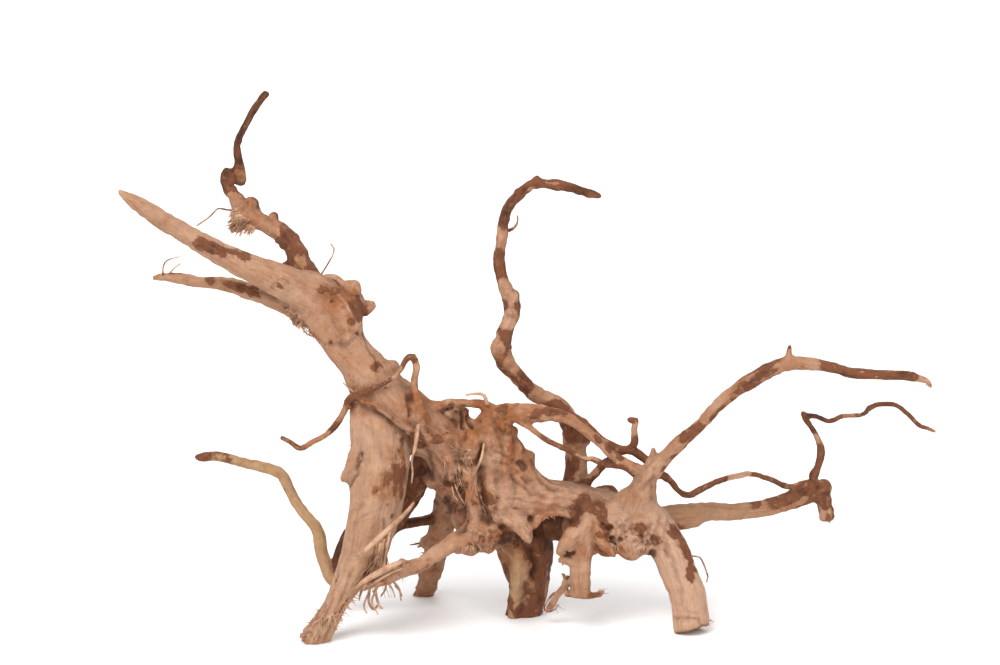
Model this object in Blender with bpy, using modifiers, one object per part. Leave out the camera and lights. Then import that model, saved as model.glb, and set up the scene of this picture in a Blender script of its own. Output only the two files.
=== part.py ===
"""A piece of driftwood: the crown of an old bush's root, with its legs, limbs and thin side roots, grown as one piece.

It stands on four cut or broken roots. Run it with blender --background --python part.py, or from the text editor.
"""

import math

import bmesh
import bpy
from mathutils import Vector

MM = 0.001

# Each root is a row of stations read off one drawing, true to size where the drawing plane passes through the wood.
# The drawing shows the wood as seen from the eye below. A station's depth is how far behind that plane it really lies.
EYE_DISTANCE = 2000.0
EYE_ACROSS = -13.5
EYE_UP = 155.0
LOOK_DOWN = math.radians(12)

# Where the floor and the middle of the finished piece lie, measured from the drawing's own zero.
FLOOR = 11.2
MIDDLE_ACROSS = 5.0
MIDDLE_DEPTH = -0.6

# How the roots grow into one another.
VOXEL = 1.0
BLEND_PASSES = 4
BLEND_STRENGTH = 0.5
SWELL = 0.12
BARK_BUMP = 1.1
BARK_GRAIN = 9.0
KEPT_SHARE = 0.047

CURVE_STEPS = 5
CURVE_SIDES = 4
LUMP_DETAIL = 3
WELD = 0.01

# The piece of floor that levels the feet.
FLOOR_SIDE = 600.0
FLOOR_DEPTH = 40.0

WOOD_COLOUR = (0.49, 0.29, 0.18, 1.0)
WOOD_ROUGHNESS = 0.85

# Stations are (across, up, depth, radius) in mm. Depth grows away from the eye.
ROOTS = {
    "neck": [
        (-108, 174, -2, 7.0),
        (-103, 169, -3, 12.0),
        (-95.5, 159, -6, 12.8),
        (-91.5, 150, -7, 10.6),
        (-85, 142, -9, 10.2),
        (-78.5, 133.5, -10, 11.8),
        (-73, 124.5, -10, 13.8),
        (-65.5, 117, -8, 14.8),
        (-54.5, 108.5, -3, 14.2),
        (-43, 103, 0, 13.8),
        (-35, 92, 2, 15.0),
        (-32, 78, 4, 14.0),
        (-32, 68, 4, 8.0),
    ],
    "long_spike": [
        (-106, 173, -4, 11.5),
        (-114, 176.5, -6, 9.8),
        (-126, 182, -9, 8.0),
        (-143.5, 189.5, -14, 6.3),
        (-161, 199, -20, 5.4),
        (-177.5, 208.5, -26, 4.6),
        (-189.5, 216, -30, 4.3),
        (-198.5, 222, -33, 3.0),
        (-204.5, 226, -35, 1.2),
    ],
    "lower_spike": [
        (-106, 167, -2, 9.0),
        (-116, 168.5, -1, 6.6),
        (-126, 171, 1, 4.4),
        (-133.5, 173.5, 4, 3.7),
        (-142.5, 176.8, 7, 4.0),
        (-152, 179.5, 10, 3.3),
        (-163.5, 180.2, 15, 2.8),
        (-172, 181.8, 19, 2.8),
        (-181.8, 182.8, 23, 2.1),
        (-187, 182.2, 26, 1.2),
    ],
    "rising_limb": [
        (-107, 176, 3, 7.5),
        (-112.8, 186, 8, 6.6),
        (-115.2, 194, 12, 4.9),
        (-119.5, 201.5, 16, 5.0),
        (-123, 205, 19, 4.6),
        (-131, 209.3, 24, 3.8),
        (-136.5, 212.3, 28, 5.2),
        (-141, 215.5, 32, 6.4),
        (-145, 221, 35, 3.8),
        (-148.8, 226.5, 38, 3.0),
        (-150, 231.5, 41, 3.2),
        (-150, 235.5, 43, 2.4),
        (-146.5, 231.5, 45, 2.3),
        (-142, 230.5, 45, 2.3),
        (-143.5, 234.8, 44, 2.6),
        (-144.2, 241.5, 42, 2.0),
        (-145.2, 246.5, 41, 1.9),
        (-144.2, 251.5, 40, 1.9),
        (-141.8, 256.5, 38, 1.8),
        (-139.4, 261.5, 37, 1.8),
        (-136.5, 266.5, 36, 1.8),
        (-133.2, 271.3, 35, 1.9),
        (-129.8, 275.3, 34, 1.7),
    ],
    "left_leg": [
        (-76, 121, -8, 12.0),
        (-74.2, 108, -11, 14.4),
        (-73, 91.5, -14, 14.6),
        (-74.5, 79, -17, 15.0),
        (-76, 67.5, -20, 14.4),
        (-79, 55.5, -23, 12.6),
        (-83, 42.5, -26, 10.8),
        (-89, 31.5, -29, 8.6),
        (-95, 20.5, -31, 6.6),
        (-101, 10, -33, 6.9),
        (-107.5, -1, -35, 7.4),
    ],
    "swept_limb": [
        (-46, 99, 8, 8.6),
        (-52.2, 86.5, 9, 6.8),
        (-59.8, 71.5, 10, 5.6),
        (-69.5, 58, 10, 4.9),
        (-81, 45, 10, 4.5),
        (-90.5, 35.5, 9, 4.2),
        (-95, 30.5, 8, 3.2),
        (-99, 34, 8, 3.2),
        (-101, 40, 9, 3.2),
        (-103, 45.5, 11, 3.3),
        (-103.5, 52, 13, 3.4),
        (-106, 58.5, 15, 3.0),
        (-110.5, 63.5, 18, 2.9),
        (-115.5, 70.5, 21, 2.8),
        (-119.5, 77.6, 23, 2.8),
        (-123.5, 84.5, 26, 2.9),
        (-133.5, 88, 29, 2.8),
        (-138.5, 89, 31, 2.6),
        (-146, 91, 33, 2.6),
        (-153.5, 92.9, 35, 2.4),
        (-158, 93.2, 37, 2.4),
        (-163, 92.7, 38, 2.2),
        (-166, 92.6, 39, 1.2),
    ],
    "back_leg": [
        (-38.5, 84, 12, 8.0),
        (-38.5, 74, 20, 7.0),
        (-41.5, 61.5, 27, 6.6),
        (-44, 52.5, 33, 6.4),
        (-46.5, 41, 39, 6.0),
        (-49.5, 31, 45, 5.2),
        (-52, 22, 49, 4.8),
        (-53, 16, 51, 4.8),
    ],
    "back_link": [
        (-41, 63, 28, 3.0),
        (-53.5, 60.5, 20, 2.5),
        (-60.5, 59.5, 15, 2.5),
        (-68.5, 57, 8, 3.0),
    ],
    "stump": [
        (-19, 107, 1, 7.5),
        (-22, 99, 2, 13.0),
        (-23, 89, 3, 16.5),
        (-22.5, 76.5, 3, 18.5),
        (-18.5, 64, 4, 18.0),
        (-12, 54, 6, 14.5),
    ],
    "hollow_rib": [
        (-14, 111, -1, 4.8),
        (-11, 103, -4, 4.8),
        (-8, 95, -5, 6.4),
        (-3, 86, -6, 6.8),
        (5, 77, -6, 7.2),
        (15, 72, -5, 8.2),
    ],
    "shelf_front": [
        (-22, 72, -10, 9.0),
        (-10, 70, -14, 7.5),
        (2, 70, -16, 6.4),
        (14, 70.5, -16, 5.6),
        (24, 68.5, -14, 6.0),
    ],
    "shelf_middle": [
        (-14, 72, 4, 12.0),
        (2, 72, 4, 11.0),
        (16, 71.5, 4, 10.5),
        (30, 68, 3, 10.5),
        (44, 64, 1, 11.5),
    ],
    "shelf_back": [
        (-26, 82, 8, 6.0),
        (-14, 77, 15, 8.0),
        (2, 74, 18, 8.5),
        (20, 71, 16, 8.5),
        (34, 67, 11, 9.0),
        (46, 64, 5, 9.0),
    ],
    "lip_tooth": [
        (-9.5, 66, -15, 6.0),
        (-4, 62, -19, 5.0),
        (0, 56.5, -21, 3.0),
        (2, 51.5, -21, 1.2),
    ],
    "front_root": [
        (-14, 57, -8, 9.0),
        (-26, 53.5, -14, 7.4),
        (-33, 51, -18, 6.2),
        (-38.5, 48.8, -21, 4.4),
        (-43.5, 45, -24, 4.1),
        (-48.5, 42.3, -26, 3.7),
        (-53.5, 38.5, -29, 3.6),
        (-58.5, 37, -31, 3.8),
        (-63.5, 36.5, -33, 4.3),
        (-68.5, 34, -35, 4.3),
        (-73.5, 31.3, -37, 3.5),
        (-78.5, 29.5, -38, 2.6),
        (-82.5, 26.5, -39, 1.9),
    ],
    "middle_leg": [
        (-3, 58, 6, 15.5),
        (-0.5, 46.5, 8, 14.4),
        (0, 38, 9, 12.8),
        (1, 31.5, 11, 10.6),
        (1, 26.5, 12, 9.6),
        (0, 20.5, 13, 9.1),
        (-1.5, 14, 14, 9.0),
        (-2.5, 4, 15, 9.2),
    ],
    "short_leg": [
        (31, 66.5, -7, 9.0),
        (28, 56, -13, 7.6),
        (26.8, 47.5, -16, 6.2),
        (26.5, 36.5, -18, 5.2),
        (26.5, 26.5, -19, 4.9),
        (26.4, 24, -19, 4.9),
    ],
    "short_leg_hook": [
        (24, 54, -16, 4.6),
        (18, 48, -19, 3.4),
        (15, 43, -20, 2.8),
        (17.5, 40, -19, 2.4),
    ],
    "short_leg_root": [
        (20.5, 32.5, -16, 2.6),
        (18.5, 27.5, -13, 2.1),
        (14.5, 23, -10, 1.8),
        (12, 18.5, -8, 1.8),
        (10.5, 15.8, -7, 1.4),
    ],
    "right_crown": [
        (26, 69, 2, 10.0),
        (37, 62.5, 0, 11.0),
        (47.5, 61, -2, 12.4),
        (57, 60, -4, 12.0),
        (64, 56.5, -5, 10.4),
        (70.3, 47.5, -6, 9.8),
        (74.8, 36.5, -8, 9.3),
        (78.6, 28, -11, 9.2),
        (80.8, 19, -15, 9.0),
        (81.7, 8.3, -19, 9.3),
    ],
    "long_arc": [
        (50, 62, -3, 11.0),
        (56.5, 74, -5, 8.6),
        (61.5, 83.5, -8, 5.4),
        (66.5, 89.5, -10, 4.3),
        (71.5, 95, -12, 3.8),
        (76.5, 100, -15, 3.8),
        (86.5, 108.8, -19, 3.3),
        (96.5, 119.5, -24, 3.3),
        (106.5, 127.6, -28, 3.7),
        (114, 132, -31, 4.0),
        (121.5, 136.2, -34, 3.6),
        (131.5, 139.6, -37, 3.5),
        (144, 139, -41, 2.9),
        (156.5, 136.6, -44, 2.5),
        (161.5, 134.8, -46, 2.7),
        (176.5, 133.9, -49, 2.5),
        (190.5, 133.4, -51, 2.6),
        (196.5, 131.8, -52, 1.9),
        (200.5, 130.5, -53, 1.4),
        (202, 127, -53, 1.0),
    ],
    "arc_spine": [
        (131, 139, -37, 2.6),
        (131, 144, -37, 1.6),
        (131.5, 149, -37, 1.0),
    ],
    "crown_spur": [
        (61, 88, -8, 2.8),
        (62.5, 93, -8, 1.8),
        (63.3, 97.3, -9, 1.2),
    ],
    "top_root": [
        (-23, 106, 0, 6.0),
        (-19, 113, -4, 4.0),
        (-12, 115.6, -7, 3.6),
        (-3.5, 115, -10, 4.4),
        (1.5, 114.5, -11, 4.8),
        (6.5, 114.5, -12, 4.4),
        (11.5, 114.2, -12, 3.4),
        (16.5, 113.3, -12, 3.1),
        (21.5, 111.5, -12, 2.7),
        (26.5, 108, -11, 2.5),
        (31.5, 104, -11, 2.4),
        (36.5, 99.5, -10, 2.2),
        (41.5, 94.5, -9, 2.1),
        (46.5, 92, -8, 2.0),
        (51.5, 89, -8, 2.0),
        (58, 85, -7, 3.2),
    ],
    "top_bridge": [
        (-52, 116, -8, 5.5),
        (-43.5, 118.5, -6, 2.8),
        (-38.5, 120, -4, 2.2),
        (-30, 119.6, -3, 1.9),
        (-22.5, 119, -3, 2.4),
        (-17.5, 116, -4, 3.4),
    ],
    "parallel_root": [
        (28, 78, 12, 3.4),
        (30.5, 81, 13, 2.3),
        (33.5, 84, 12, 2.0),
        (36.5, 87.3, 10, 2.0),
        (39.5, 90.5, 8, 1.9),
        (43, 92.3, 5, 2.0),
    ],
    "tall_limb": [
        (25.5, 71, 13, 7.4),
        (24.6, 81.5, 17, 6.2),
        (24.5, 91.5, 19, 5.3),
        (24, 99, 20, 5.5),
        (22.5, 106.5, 19, 5.0),
        (17.5, 116.5, 17, 4.4),
        (9.5, 121.5, 16, 4.4),
        (1.5, 126.5, 14, 3.9),
        (-7.8, 136.5, 12, 4.2),
        (-11.5, 142, 11, 4.7),
        (-13, 148, 10, 5.0),
        (-12, 151.5, 9, 4.1),
        (-9.5, 159, 8, 3.3),
        (-7.8, 164.5, 8, 4.1),
        (-8, 172, 6, 4.0),
        (-10.5, 176.5, 5, 3.3),
        (-13, 184, 4, 3.0),
        (-14, 192.5, 3, 2.6),
        (-12.7, 201.5, 1, 2.7),
        (-11.5, 211.5, -1, 2.5),
        (-10, 216.5, -2, 2.5),
        (-6.3, 221.7, -3, 2.5),
        (1.5, 228.7, -5, 2.5),
        (6.5, 229.5, -6, 2.4),
        (11.5, 229.1, -6, 2.4),
        (16.5, 228.4, -6, 2.8),
        (21.5, 227.4, -6, 2.3),
        (31.5, 224.3, -5, 2.1),
        (37.3, 223.1, -5, 1.2),
    ],
    "tall_limb_nub": [
        (28, 101, 19, 3.4),
        (31.5, 100.8, 19, 1.8),
    ],
    "thin_root": [
        (-11, 114, -9, 2.2),
        (-7.5, 112.5, -11, 1.7),
        (1.5, 107.3, -14, 1.6),
        (6.5, 103.6, -15, 1.5),
        (11.5, 100.2, -15, 1.5),
        (16.5, 98, -15, 1.4),
        (21.5, 95.7, -14, 1.4),
        (29, 91.8, -12, 1.4),
        (32.5, 92, -11, 1.4),
        (39, 89, -9, 1.5),
        (48.5, 88, -8, 1.6),
        (54.5, 84.5, -7, 2.2),
    ],
    "under_root": [
        (63, 84, 0, 3.0),
        (67.3, 84.2, 2, 2.0),
        (71.8, 80.8, 4, 1.8),
        (75.8, 75.8, 6, 1.7),
        (80.8, 73.5, 8, 1.7),
        (86.5, 76.3, 10, 1.6),
        (96.5, 81, 15, 1.5),
        (107.8, 83.8, 20, 1.5),
        (113.4, 84.2, 23, 1.5),
        (121.8, 81.5, 27, 1.5),
        (130.8, 77.8, 31, 1.5),
        (139, 79.5, 34, 1.8),
        (144, 78.5, 34, 2.4),
    ],
    "twiglet": [
        (46.5, 95.3, 2, 2.0),
        (50, 96.5, 0, 1.7),
        (53.5, 99, -2, 1.7),
        (53.8, 103.5, -3, 1.7),
        (53.5, 107.5, -4, 1.7),
        (54.6, 111, -4, 1.6),
        (50, 111.3, -4, 1.2),
    ],
    "small_loop": [
        (28, 70, 8, 2.6),
        (31.5, 74.3, 10, 1.8),
        (36.5, 76.6, 10, 1.6),
        (42.5, 77, 9, 1.6),
        (44, 73.5, 7, 2.0),
    ],
    "right_limb": [
        (58, 62, 4, 9.0),
        (64, 62, 7, 6.4),
        (76.5, 62.8, 12, 6.2),
        (81.5, 63.2, 15, 6.0),
        (86.5, 64.9, 18, 5.1),
        (91.5, 65.7, 21, 4.7),
        (101.5, 65.3, 25, 4.3),
        (111.5, 66, 28, 4.2),
        (121.5, 67.8, 31, 4.3),
        (131.5, 71, 33, 4.5),
        (139, 74, 34, 5.0),
        (144.5, 76.5, 34, 5.0),
    ],
    "right_limb_stub": [
        (144.8, 76.5, 34, 5.0),
        (148, 71.5, 34, 4.4),
        (149.3, 66.5, 33, 4.2),
        (151, 61.3, 32, 4.2),
    ],
    "wire_riser": [
        (142.5, 82, 34, 2.6),
        (144.8, 86.5, 34, 1.9),
        (146.5, 91.5, 35, 1.8),
        (147, 97, 36, 1.8),
        (145.3, 102.1, 35, 1.6),
        (142.5, 107.2, 34, 1.5),
        (139.7, 111, 32, 1.5),
        (137.6, 115.3, 30, 1.4),
    ],
    "wire_tip": [
        (138.3, 113.4, 31, 1.5),
        (144.2, 113.3, 31, 1.3),
        (149.3, 111, 32, 1.3),
        (152.5, 110.8, 33, 1.4),
        (158, 113.2, 34, 1.3),
        (167.8, 113.9, 36, 1.3),
        (170.5, 116.7, 37, 1.4),
        (174, 118.6, 38, 1.5),
        (179, 119.3, 39, 1.4),
        (184.5, 118.7, 40, 1.3),
        (188, 116.4, 41, 1.3),
        (192.5, 112.2, 42, 1.4),
        (196.4, 108.3, 43, 1.3),
        (200.3, 107.2, 43, 1.2),
        (204.5, 105.1, 44, 1.0),
    ],
    "looping_root": [
        (-54, 104, -14, 4.5),
        (-54.5, 118, -17, 3.0),
        (-56.5, 129, -17, 2.0),
        (-55.3, 137.5, -17, 1.8),
        (-57, 143, -17, 1.6),
        (-60.5, 141.5, -18, 1.6),
        (-63, 136.5, -20, 1.8),
        (-69, 131, -22, 1.7),
        (-76.5, 127, -23, 1.6),
        (-83, 124.5, -21, 1.7),
        (-88, 122, -16, 2.2),
        (-91, 116.5, -14, 1.7),
        (-95, 109.5, -13, 1.6),
        (-101, 103.5, -14, 1.5),
        (-107, 100.5, -15, 1.5),
        (-113, 97, -16, 1.5),
        (-118, 100, -17, 1.3),
        (-123.5, 103, -18, 1.2),
    ],
    "crossing_root": [
        (-83.5, 121, -20, 1.8),
        (-74, 116, -23, 2.0),
        (-65.5, 110, -23, 2.4),
        (-57.5, 106, -19, 3.2),
        (-47.5, 103.5, -14, 4.4),
        (-41, 102.5, -10, 4.8),
    ],
    "splinter": [
        (-87, 41, -37, 2.4),
        (-79, 47, -39, 1.7),
        (-71.5, 52.5, -38, 1.5),
        (-64.5, 59, -35, 1.4),
        (-57.5, 67.5, -31, 0.9),
    ],
    "bark_flake": [
        (-80, 97, -15, 5.0),
        (-87, 87, -13, 3.4),
        (-91.5, 79, -12, 1.8),
    ],
    "crown_horn": [
        (-90, 165, 0, 5.0),
        (-81, 167, 2, 3.6),
        (-75.5, 169.5, 3, 1.5),
    ],
    "crown_handle": [
        (-104, 180, -3, 2.6),
        (-98.5, 183, -3, 1.4),
        (-93.5, 181, -3, 1.3),
        (-91, 175, -3, 2.2),
    ],
    "burl_tuft": [
        (-141, 214, 31, 4.5),
        (-144.5, 208.5, 30, 3.4),
        (-148.5, 206, 29, 1.6),
    ],
    "torn_flap": [
        (-73, 58, -17, 7.0),
        (-72.5, 48, -19, 5.6),
        (-74.5, 38, -21, 4.8),
        (-78, 29, -23, 4.0),
        (-80.5, 21.5, -25, 2.6),
        (-79.5, 15.5, -25, 1.4),
    ],
    "rear_root": [
        (18, 114, 10, 3.6),
        (26.5, 110, 8, 2.7),
        (31.5, 106.5, 6, 2.4),
        (36.5, 101.5, 4, 2.3),
        (41.5, 98.5, 3, 2.2),
        (45.5, 96.5, 2, 2.2),
        (53, 95.8, 0, 2.0),
        (57.5, 93, -1, 1.9),
        (61.5, 90, -3, 2.2),
    ],
    "hollow_back": [
        (-46, 102, 6, 8.0),
        (-33, 105, 8, 7.5),
        (-24, 104, 7, 7.0),
        (-16, 99, 6, 7.0),
    ],
    "cave_back": [
        (2, 63, 6, 9.0),
        (14, 59, 2, 8.4),
        (26, 58, -3, 8.0),
    ],
    "short_leg_twig": [
        (18.5, 24.5, -18, 1.5),
        (27, 23.5, -21, 1.8),
        (34, 23.5, -22, 1.6),
        (38, 24.5, -22, 1.2),
    ],
}

# Knots and swellings, as (across, up, depth, radius) in mm.
LUMPS = [
    (-90.5, 170, 1, 9.0),
    (-99, 178, 2, 5.5),
    (-97, 158, -10, 8.5),
    (-113, 163, -4, 6.0),
    (-108.5, 186.5, 8, 2.8),
    (-121, 188, 10, 2.2),
    (-127, 213, 22, 2.4),
    (-138, 219, 29, 3.4),
    (-143, 212, 28, 4.6),
    (-145.5, 236.5, 43, 1.8),
    (-47, 81.5, 2, 4.2),
    (2.5, 93.5, -4, 3.6),
    (-27, 56, -14, 7.5),
    (-20, 50, -13, 6.0),
    (-34, 49, -16, 5.0),
    (40, 50, -8, 7.0),
    (52, 48, -12, 7.0),
    (62, 48, -12, 4.6),
    (57, 51, -8, 7.0),
    (33, 48, -13, 4.2),
    (-68, 136.5, -10, 5.2),
    (-51, 50, 33, 3.4),
    (24, 58, -8, 7.0),
    (5, 231.6, -6, 1.8),
    (148, 77, 34, 4.4),
]

# Hollows that go deep into the crown, as (across, up, depth, radius) in mm.
HOLLOWS = [
    (12.5, 57.5, -15, 5.8),
    (6.5, 55, -10, 5.0),
    (-33, 109, -8, 4.4),
    (-25.5, 111, -7, 3.0),
    (-3.5, 88, -14, 2.6),
]


def standing(across, up, depth):
    """The point in metres, on its feet in the finished frame, that the eye sees at this place of the drawing."""
    sine, cosine = math.sin(LOOK_DOWN), math.cos(LOOK_DOWN)
    reach = (depth - EYE_UP * sine + EYE_DISTANCE * cosine) / ((up - EYE_UP) * sine + EYE_DISTANCE * cosine)
    seen_across = EYE_ACROSS + reach * (across - EYE_ACROSS)
    seen_up = EYE_UP + reach * (up - EYE_UP)
    beyond = EYE_DISTANCE * (reach - 1)
    height = seen_up * cosine - beyond * sine
    return Vector((seen_across - MIDDLE_ACROSS, depth - MIDDLE_DEPTH, height - FLOOR)) * MM


def clear_scene():
    for obj in list(bpy.data.objects):
        bpy.data.objects.remove(obj)


def add_root(wood, name, stations):
    """Adds a root to the bmesh: a smooth tube through its stations, as thick at each as that station says."""
    curve = bpy.data.curves.new(name, "CURVE")
    curve.dimensions = "3D"
    curve.bevel_depth = MM
    curve.bevel_resolution = CURVE_SIDES
    curve.resolution_u = CURVE_STEPS
    curve.use_fill_caps = True
    spline = curve.splines.new("BEZIER")
    spline.radius_interpolation = "CARDINAL"
    spline.bezier_points.add(len(stations) - 1)
    for point, (across, up, depth, radius) in zip(spline.bezier_points, stations):
        point.co = standing(across, up, depth)
        point.radius = radius
        point.handle_left_type = "AUTO"
        point.handle_right_type = "AUTO"
    obj = bpy.data.objects.new(name, curve)
    bpy.context.scene.collection.objects.link(obj)
    graph = bpy.context.evaluated_depsgraph_get()
    mesh = bpy.data.meshes.new_from_object(obj.evaluated_get(graph))
    bpy.data.objects.remove(obj)
    tube = bmesh.new()
    tube.from_mesh(mesh)
    bmesh.ops.remove_doubles(tube, verts=tube.verts, dist=WELD * MM)
    tube.to_mesh(mesh)
    tube.free()
    wood.from_mesh(mesh)
    bpy.data.meshes.remove(mesh)


def add_lump(wood, across, up, depth, radius):
    made = bmesh.ops.create_icosphere(wood, subdivisions=LUMP_DETAIL, radius=radius * MM)
    bmesh.ops.translate(wood, vec=standing(across, up, depth), verts=made["verts"])


def object_from(name, shape, collection):
    mesh = bpy.data.meshes.new(name)
    shape.to_mesh(mesh)
    shape.free()
    obj = bpy.data.objects.new(name, mesh)
    collection.objects.link(obj)
    return obj


def as_cutter(obj):
    obj.hide_render = True
    obj.display_type = "WIRE"
    return obj


def hollow_cutter(collection):
    """The balls that open the deep hollows, fused where they meet."""
    shape = bmesh.new()
    for hollow in HOLLOWS:
        add_lump(shape, *hollow)
    balls = as_cutter(object_from("hollow_cutter", shape, collection))
    fuse = balls.modifiers.new("fuse", "REMESH")
    fuse.mode = "VOXEL"
    fuse.voxel_size = VOXEL * MM
    return balls


def floor_cutter(collection):
    """The slab whose top is the floor that the feet are levelled to."""
    shape = bmesh.new()
    made = bmesh.ops.create_cube(shape, size=1)
    bmesh.ops.scale(shape, vec=Vector((FLOOR_SIDE, FLOOR_SIDE, FLOOR_DEPTH)) * MM, verts=made["verts"])
    bmesh.ops.translate(shape, vec=Vector((0, 0, -FLOOR_DEPTH / 2)) * MM, verts=made["verts"])
    return as_cutter(object_from("floor_cutter", shape, collection))


def wood_material():
    material = bpy.data.materials.new("peeled_root_wood")
    material.use_nodes = True
    shader = material.node_tree.nodes["Principled BSDF"]
    shader.inputs["Base Color"].default_value = WOOD_COLOUR
    shader.inputs["Roughness"].default_value = WOOD_ROUGHNESS
    shader.inputs["Metallic"].default_value = 0.0
    material.diffuse_color = WOOD_COLOUR
    return material


def cut_away(obj, cutter, solver):
    cut = obj.modifiers.new(cutter.name, "BOOLEAN")
    cut.operation = "DIFFERENCE"
    cut.object = cutter
    cut.solver = solver


def grow_together(obj):
    """Fuses the crossing roots into one body, softens the forks, and roughens the surface."""
    fuse = obj.modifiers.new("fuse", "REMESH")
    fuse.mode = "VOXEL"
    fuse.voxel_size = VOXEL * MM
    blend = obj.modifiers.new("blend", "SMOOTH")
    blend.factor = BLEND_STRENGTH
    blend.iterations = BLEND_PASSES
    swell = obj.modifiers.new("swell", "DISPLACE")
    swell.strength = SWELL * MM
    swell.mid_level = 0
    grain = bpy.data.textures.new("weathering", "CLOUDS")
    grain.noise_scale = BARK_GRAIN * MM
    rough = obj.modifiers.new("rough", "DISPLACE")
    rough.texture = grain
    rough.texture_coords = "LOCAL"
    rough.strength = BARK_BUMP * MM
    rough.mid_level = 0.5


def thin_out(obj):
    """Keeps the faces that carry the shape."""
    fewer = obj.modifiers.new("fewer_faces", "DECIMATE")
    fewer.ratio = KEPT_SHARE
    fewer.use_collapse_triangulate = True


def build():
    clear_scene()
    parts = bpy.data.collections.new("driftwood")
    cutters = bpy.data.collections.new("cutters")
    bpy.context.scene.collection.children.link(parts)
    bpy.context.scene.collection.children.link(cutters)

    shape = bmesh.new()
    for name, stations in ROOTS.items():
        add_root(shape, name, stations)
    for lump in LUMPS:
        add_lump(shape, *lump)
    wood = object_from("driftwood", shape, parts)
    wood.data.materials.append(wood_material())

    grow_together(wood)
    cut_away(wood, hollow_cutter(cutters), "MANIFOLD")
    thin_out(wood)
    cut_away(wood, floor_cutter(cutters), "EXACT")
    wood.data.shade_smooth()


build()
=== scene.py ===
"""The looks of a piece of driftwood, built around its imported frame: a root crown with its limbs and legs.

It is laid out as a Blender add-on and run as a script. It makes the wood, its hair roots and its torn fibres.
"""

import math
import random

import bmesh
import bpy
import numpy as np
from bpy.props import FloatProperty, FloatVectorProperty, IntProperty, PointerProperty
from mathutils import Matrix, Vector


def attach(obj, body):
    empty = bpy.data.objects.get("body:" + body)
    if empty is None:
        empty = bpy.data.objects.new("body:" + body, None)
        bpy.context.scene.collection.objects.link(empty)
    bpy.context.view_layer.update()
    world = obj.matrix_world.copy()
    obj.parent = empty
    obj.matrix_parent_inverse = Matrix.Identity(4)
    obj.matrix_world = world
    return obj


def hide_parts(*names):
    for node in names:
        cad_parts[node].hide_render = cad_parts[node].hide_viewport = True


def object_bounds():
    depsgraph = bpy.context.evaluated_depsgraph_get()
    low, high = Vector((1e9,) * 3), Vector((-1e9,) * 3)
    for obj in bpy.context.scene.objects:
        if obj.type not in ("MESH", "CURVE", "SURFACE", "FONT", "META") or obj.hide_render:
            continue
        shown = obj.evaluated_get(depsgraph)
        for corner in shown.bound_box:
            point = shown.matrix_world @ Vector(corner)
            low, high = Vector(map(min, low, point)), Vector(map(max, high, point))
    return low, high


bl_info = {
    "name": "Driftwood",
    "version": (1, 0, 0),
    "blender": (4, 5, 0),
    "location": "View3D > Sidebar > Driftwood",
    "description": "Grows a weathered piece of root wood with bark patches, hair roots and torn fibres",
    "category": "Object",
}

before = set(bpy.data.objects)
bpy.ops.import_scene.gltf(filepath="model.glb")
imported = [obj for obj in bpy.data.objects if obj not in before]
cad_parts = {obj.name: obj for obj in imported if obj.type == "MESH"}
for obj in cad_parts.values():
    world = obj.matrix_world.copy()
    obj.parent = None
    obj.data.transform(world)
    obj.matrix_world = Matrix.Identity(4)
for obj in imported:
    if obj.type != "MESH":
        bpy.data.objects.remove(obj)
CAD_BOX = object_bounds()
NODE = "driftwood"
MM = 0.001

# Each root is a row of stations set on one drawing, true to size where the drawing plane passes
# through the wood. The drawing shows the wood as seen from this eye, which looks down a little. A station's
# depth is how far behind that plane it really lies.
EYE_DISTANCE = 2000.0
EYE_ACROSS = -13.5
EYE_UP = 155.0
LOOK_DOWN = math.radians(12)
SINE = math.sin(LOOK_DOWN)
COSINE = math.cos(LOOK_DOWN)

# Where the floor and the middle of the piece lie, measured from the drawing's own zero.
FLOOR = 11.2
MIDDLE_ACROSS = 5.0
MIDDLE_DEPTH = -0.6
MIDDLE = np.array([MIDDLE_ACROSS, MIDDLE_DEPTH, FLOOR])

# The camera's sensor, and how much of the drawing it takes in across, in mm.
SENSOR = 36.0
VIEW_ACROSS = 500.0

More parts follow.
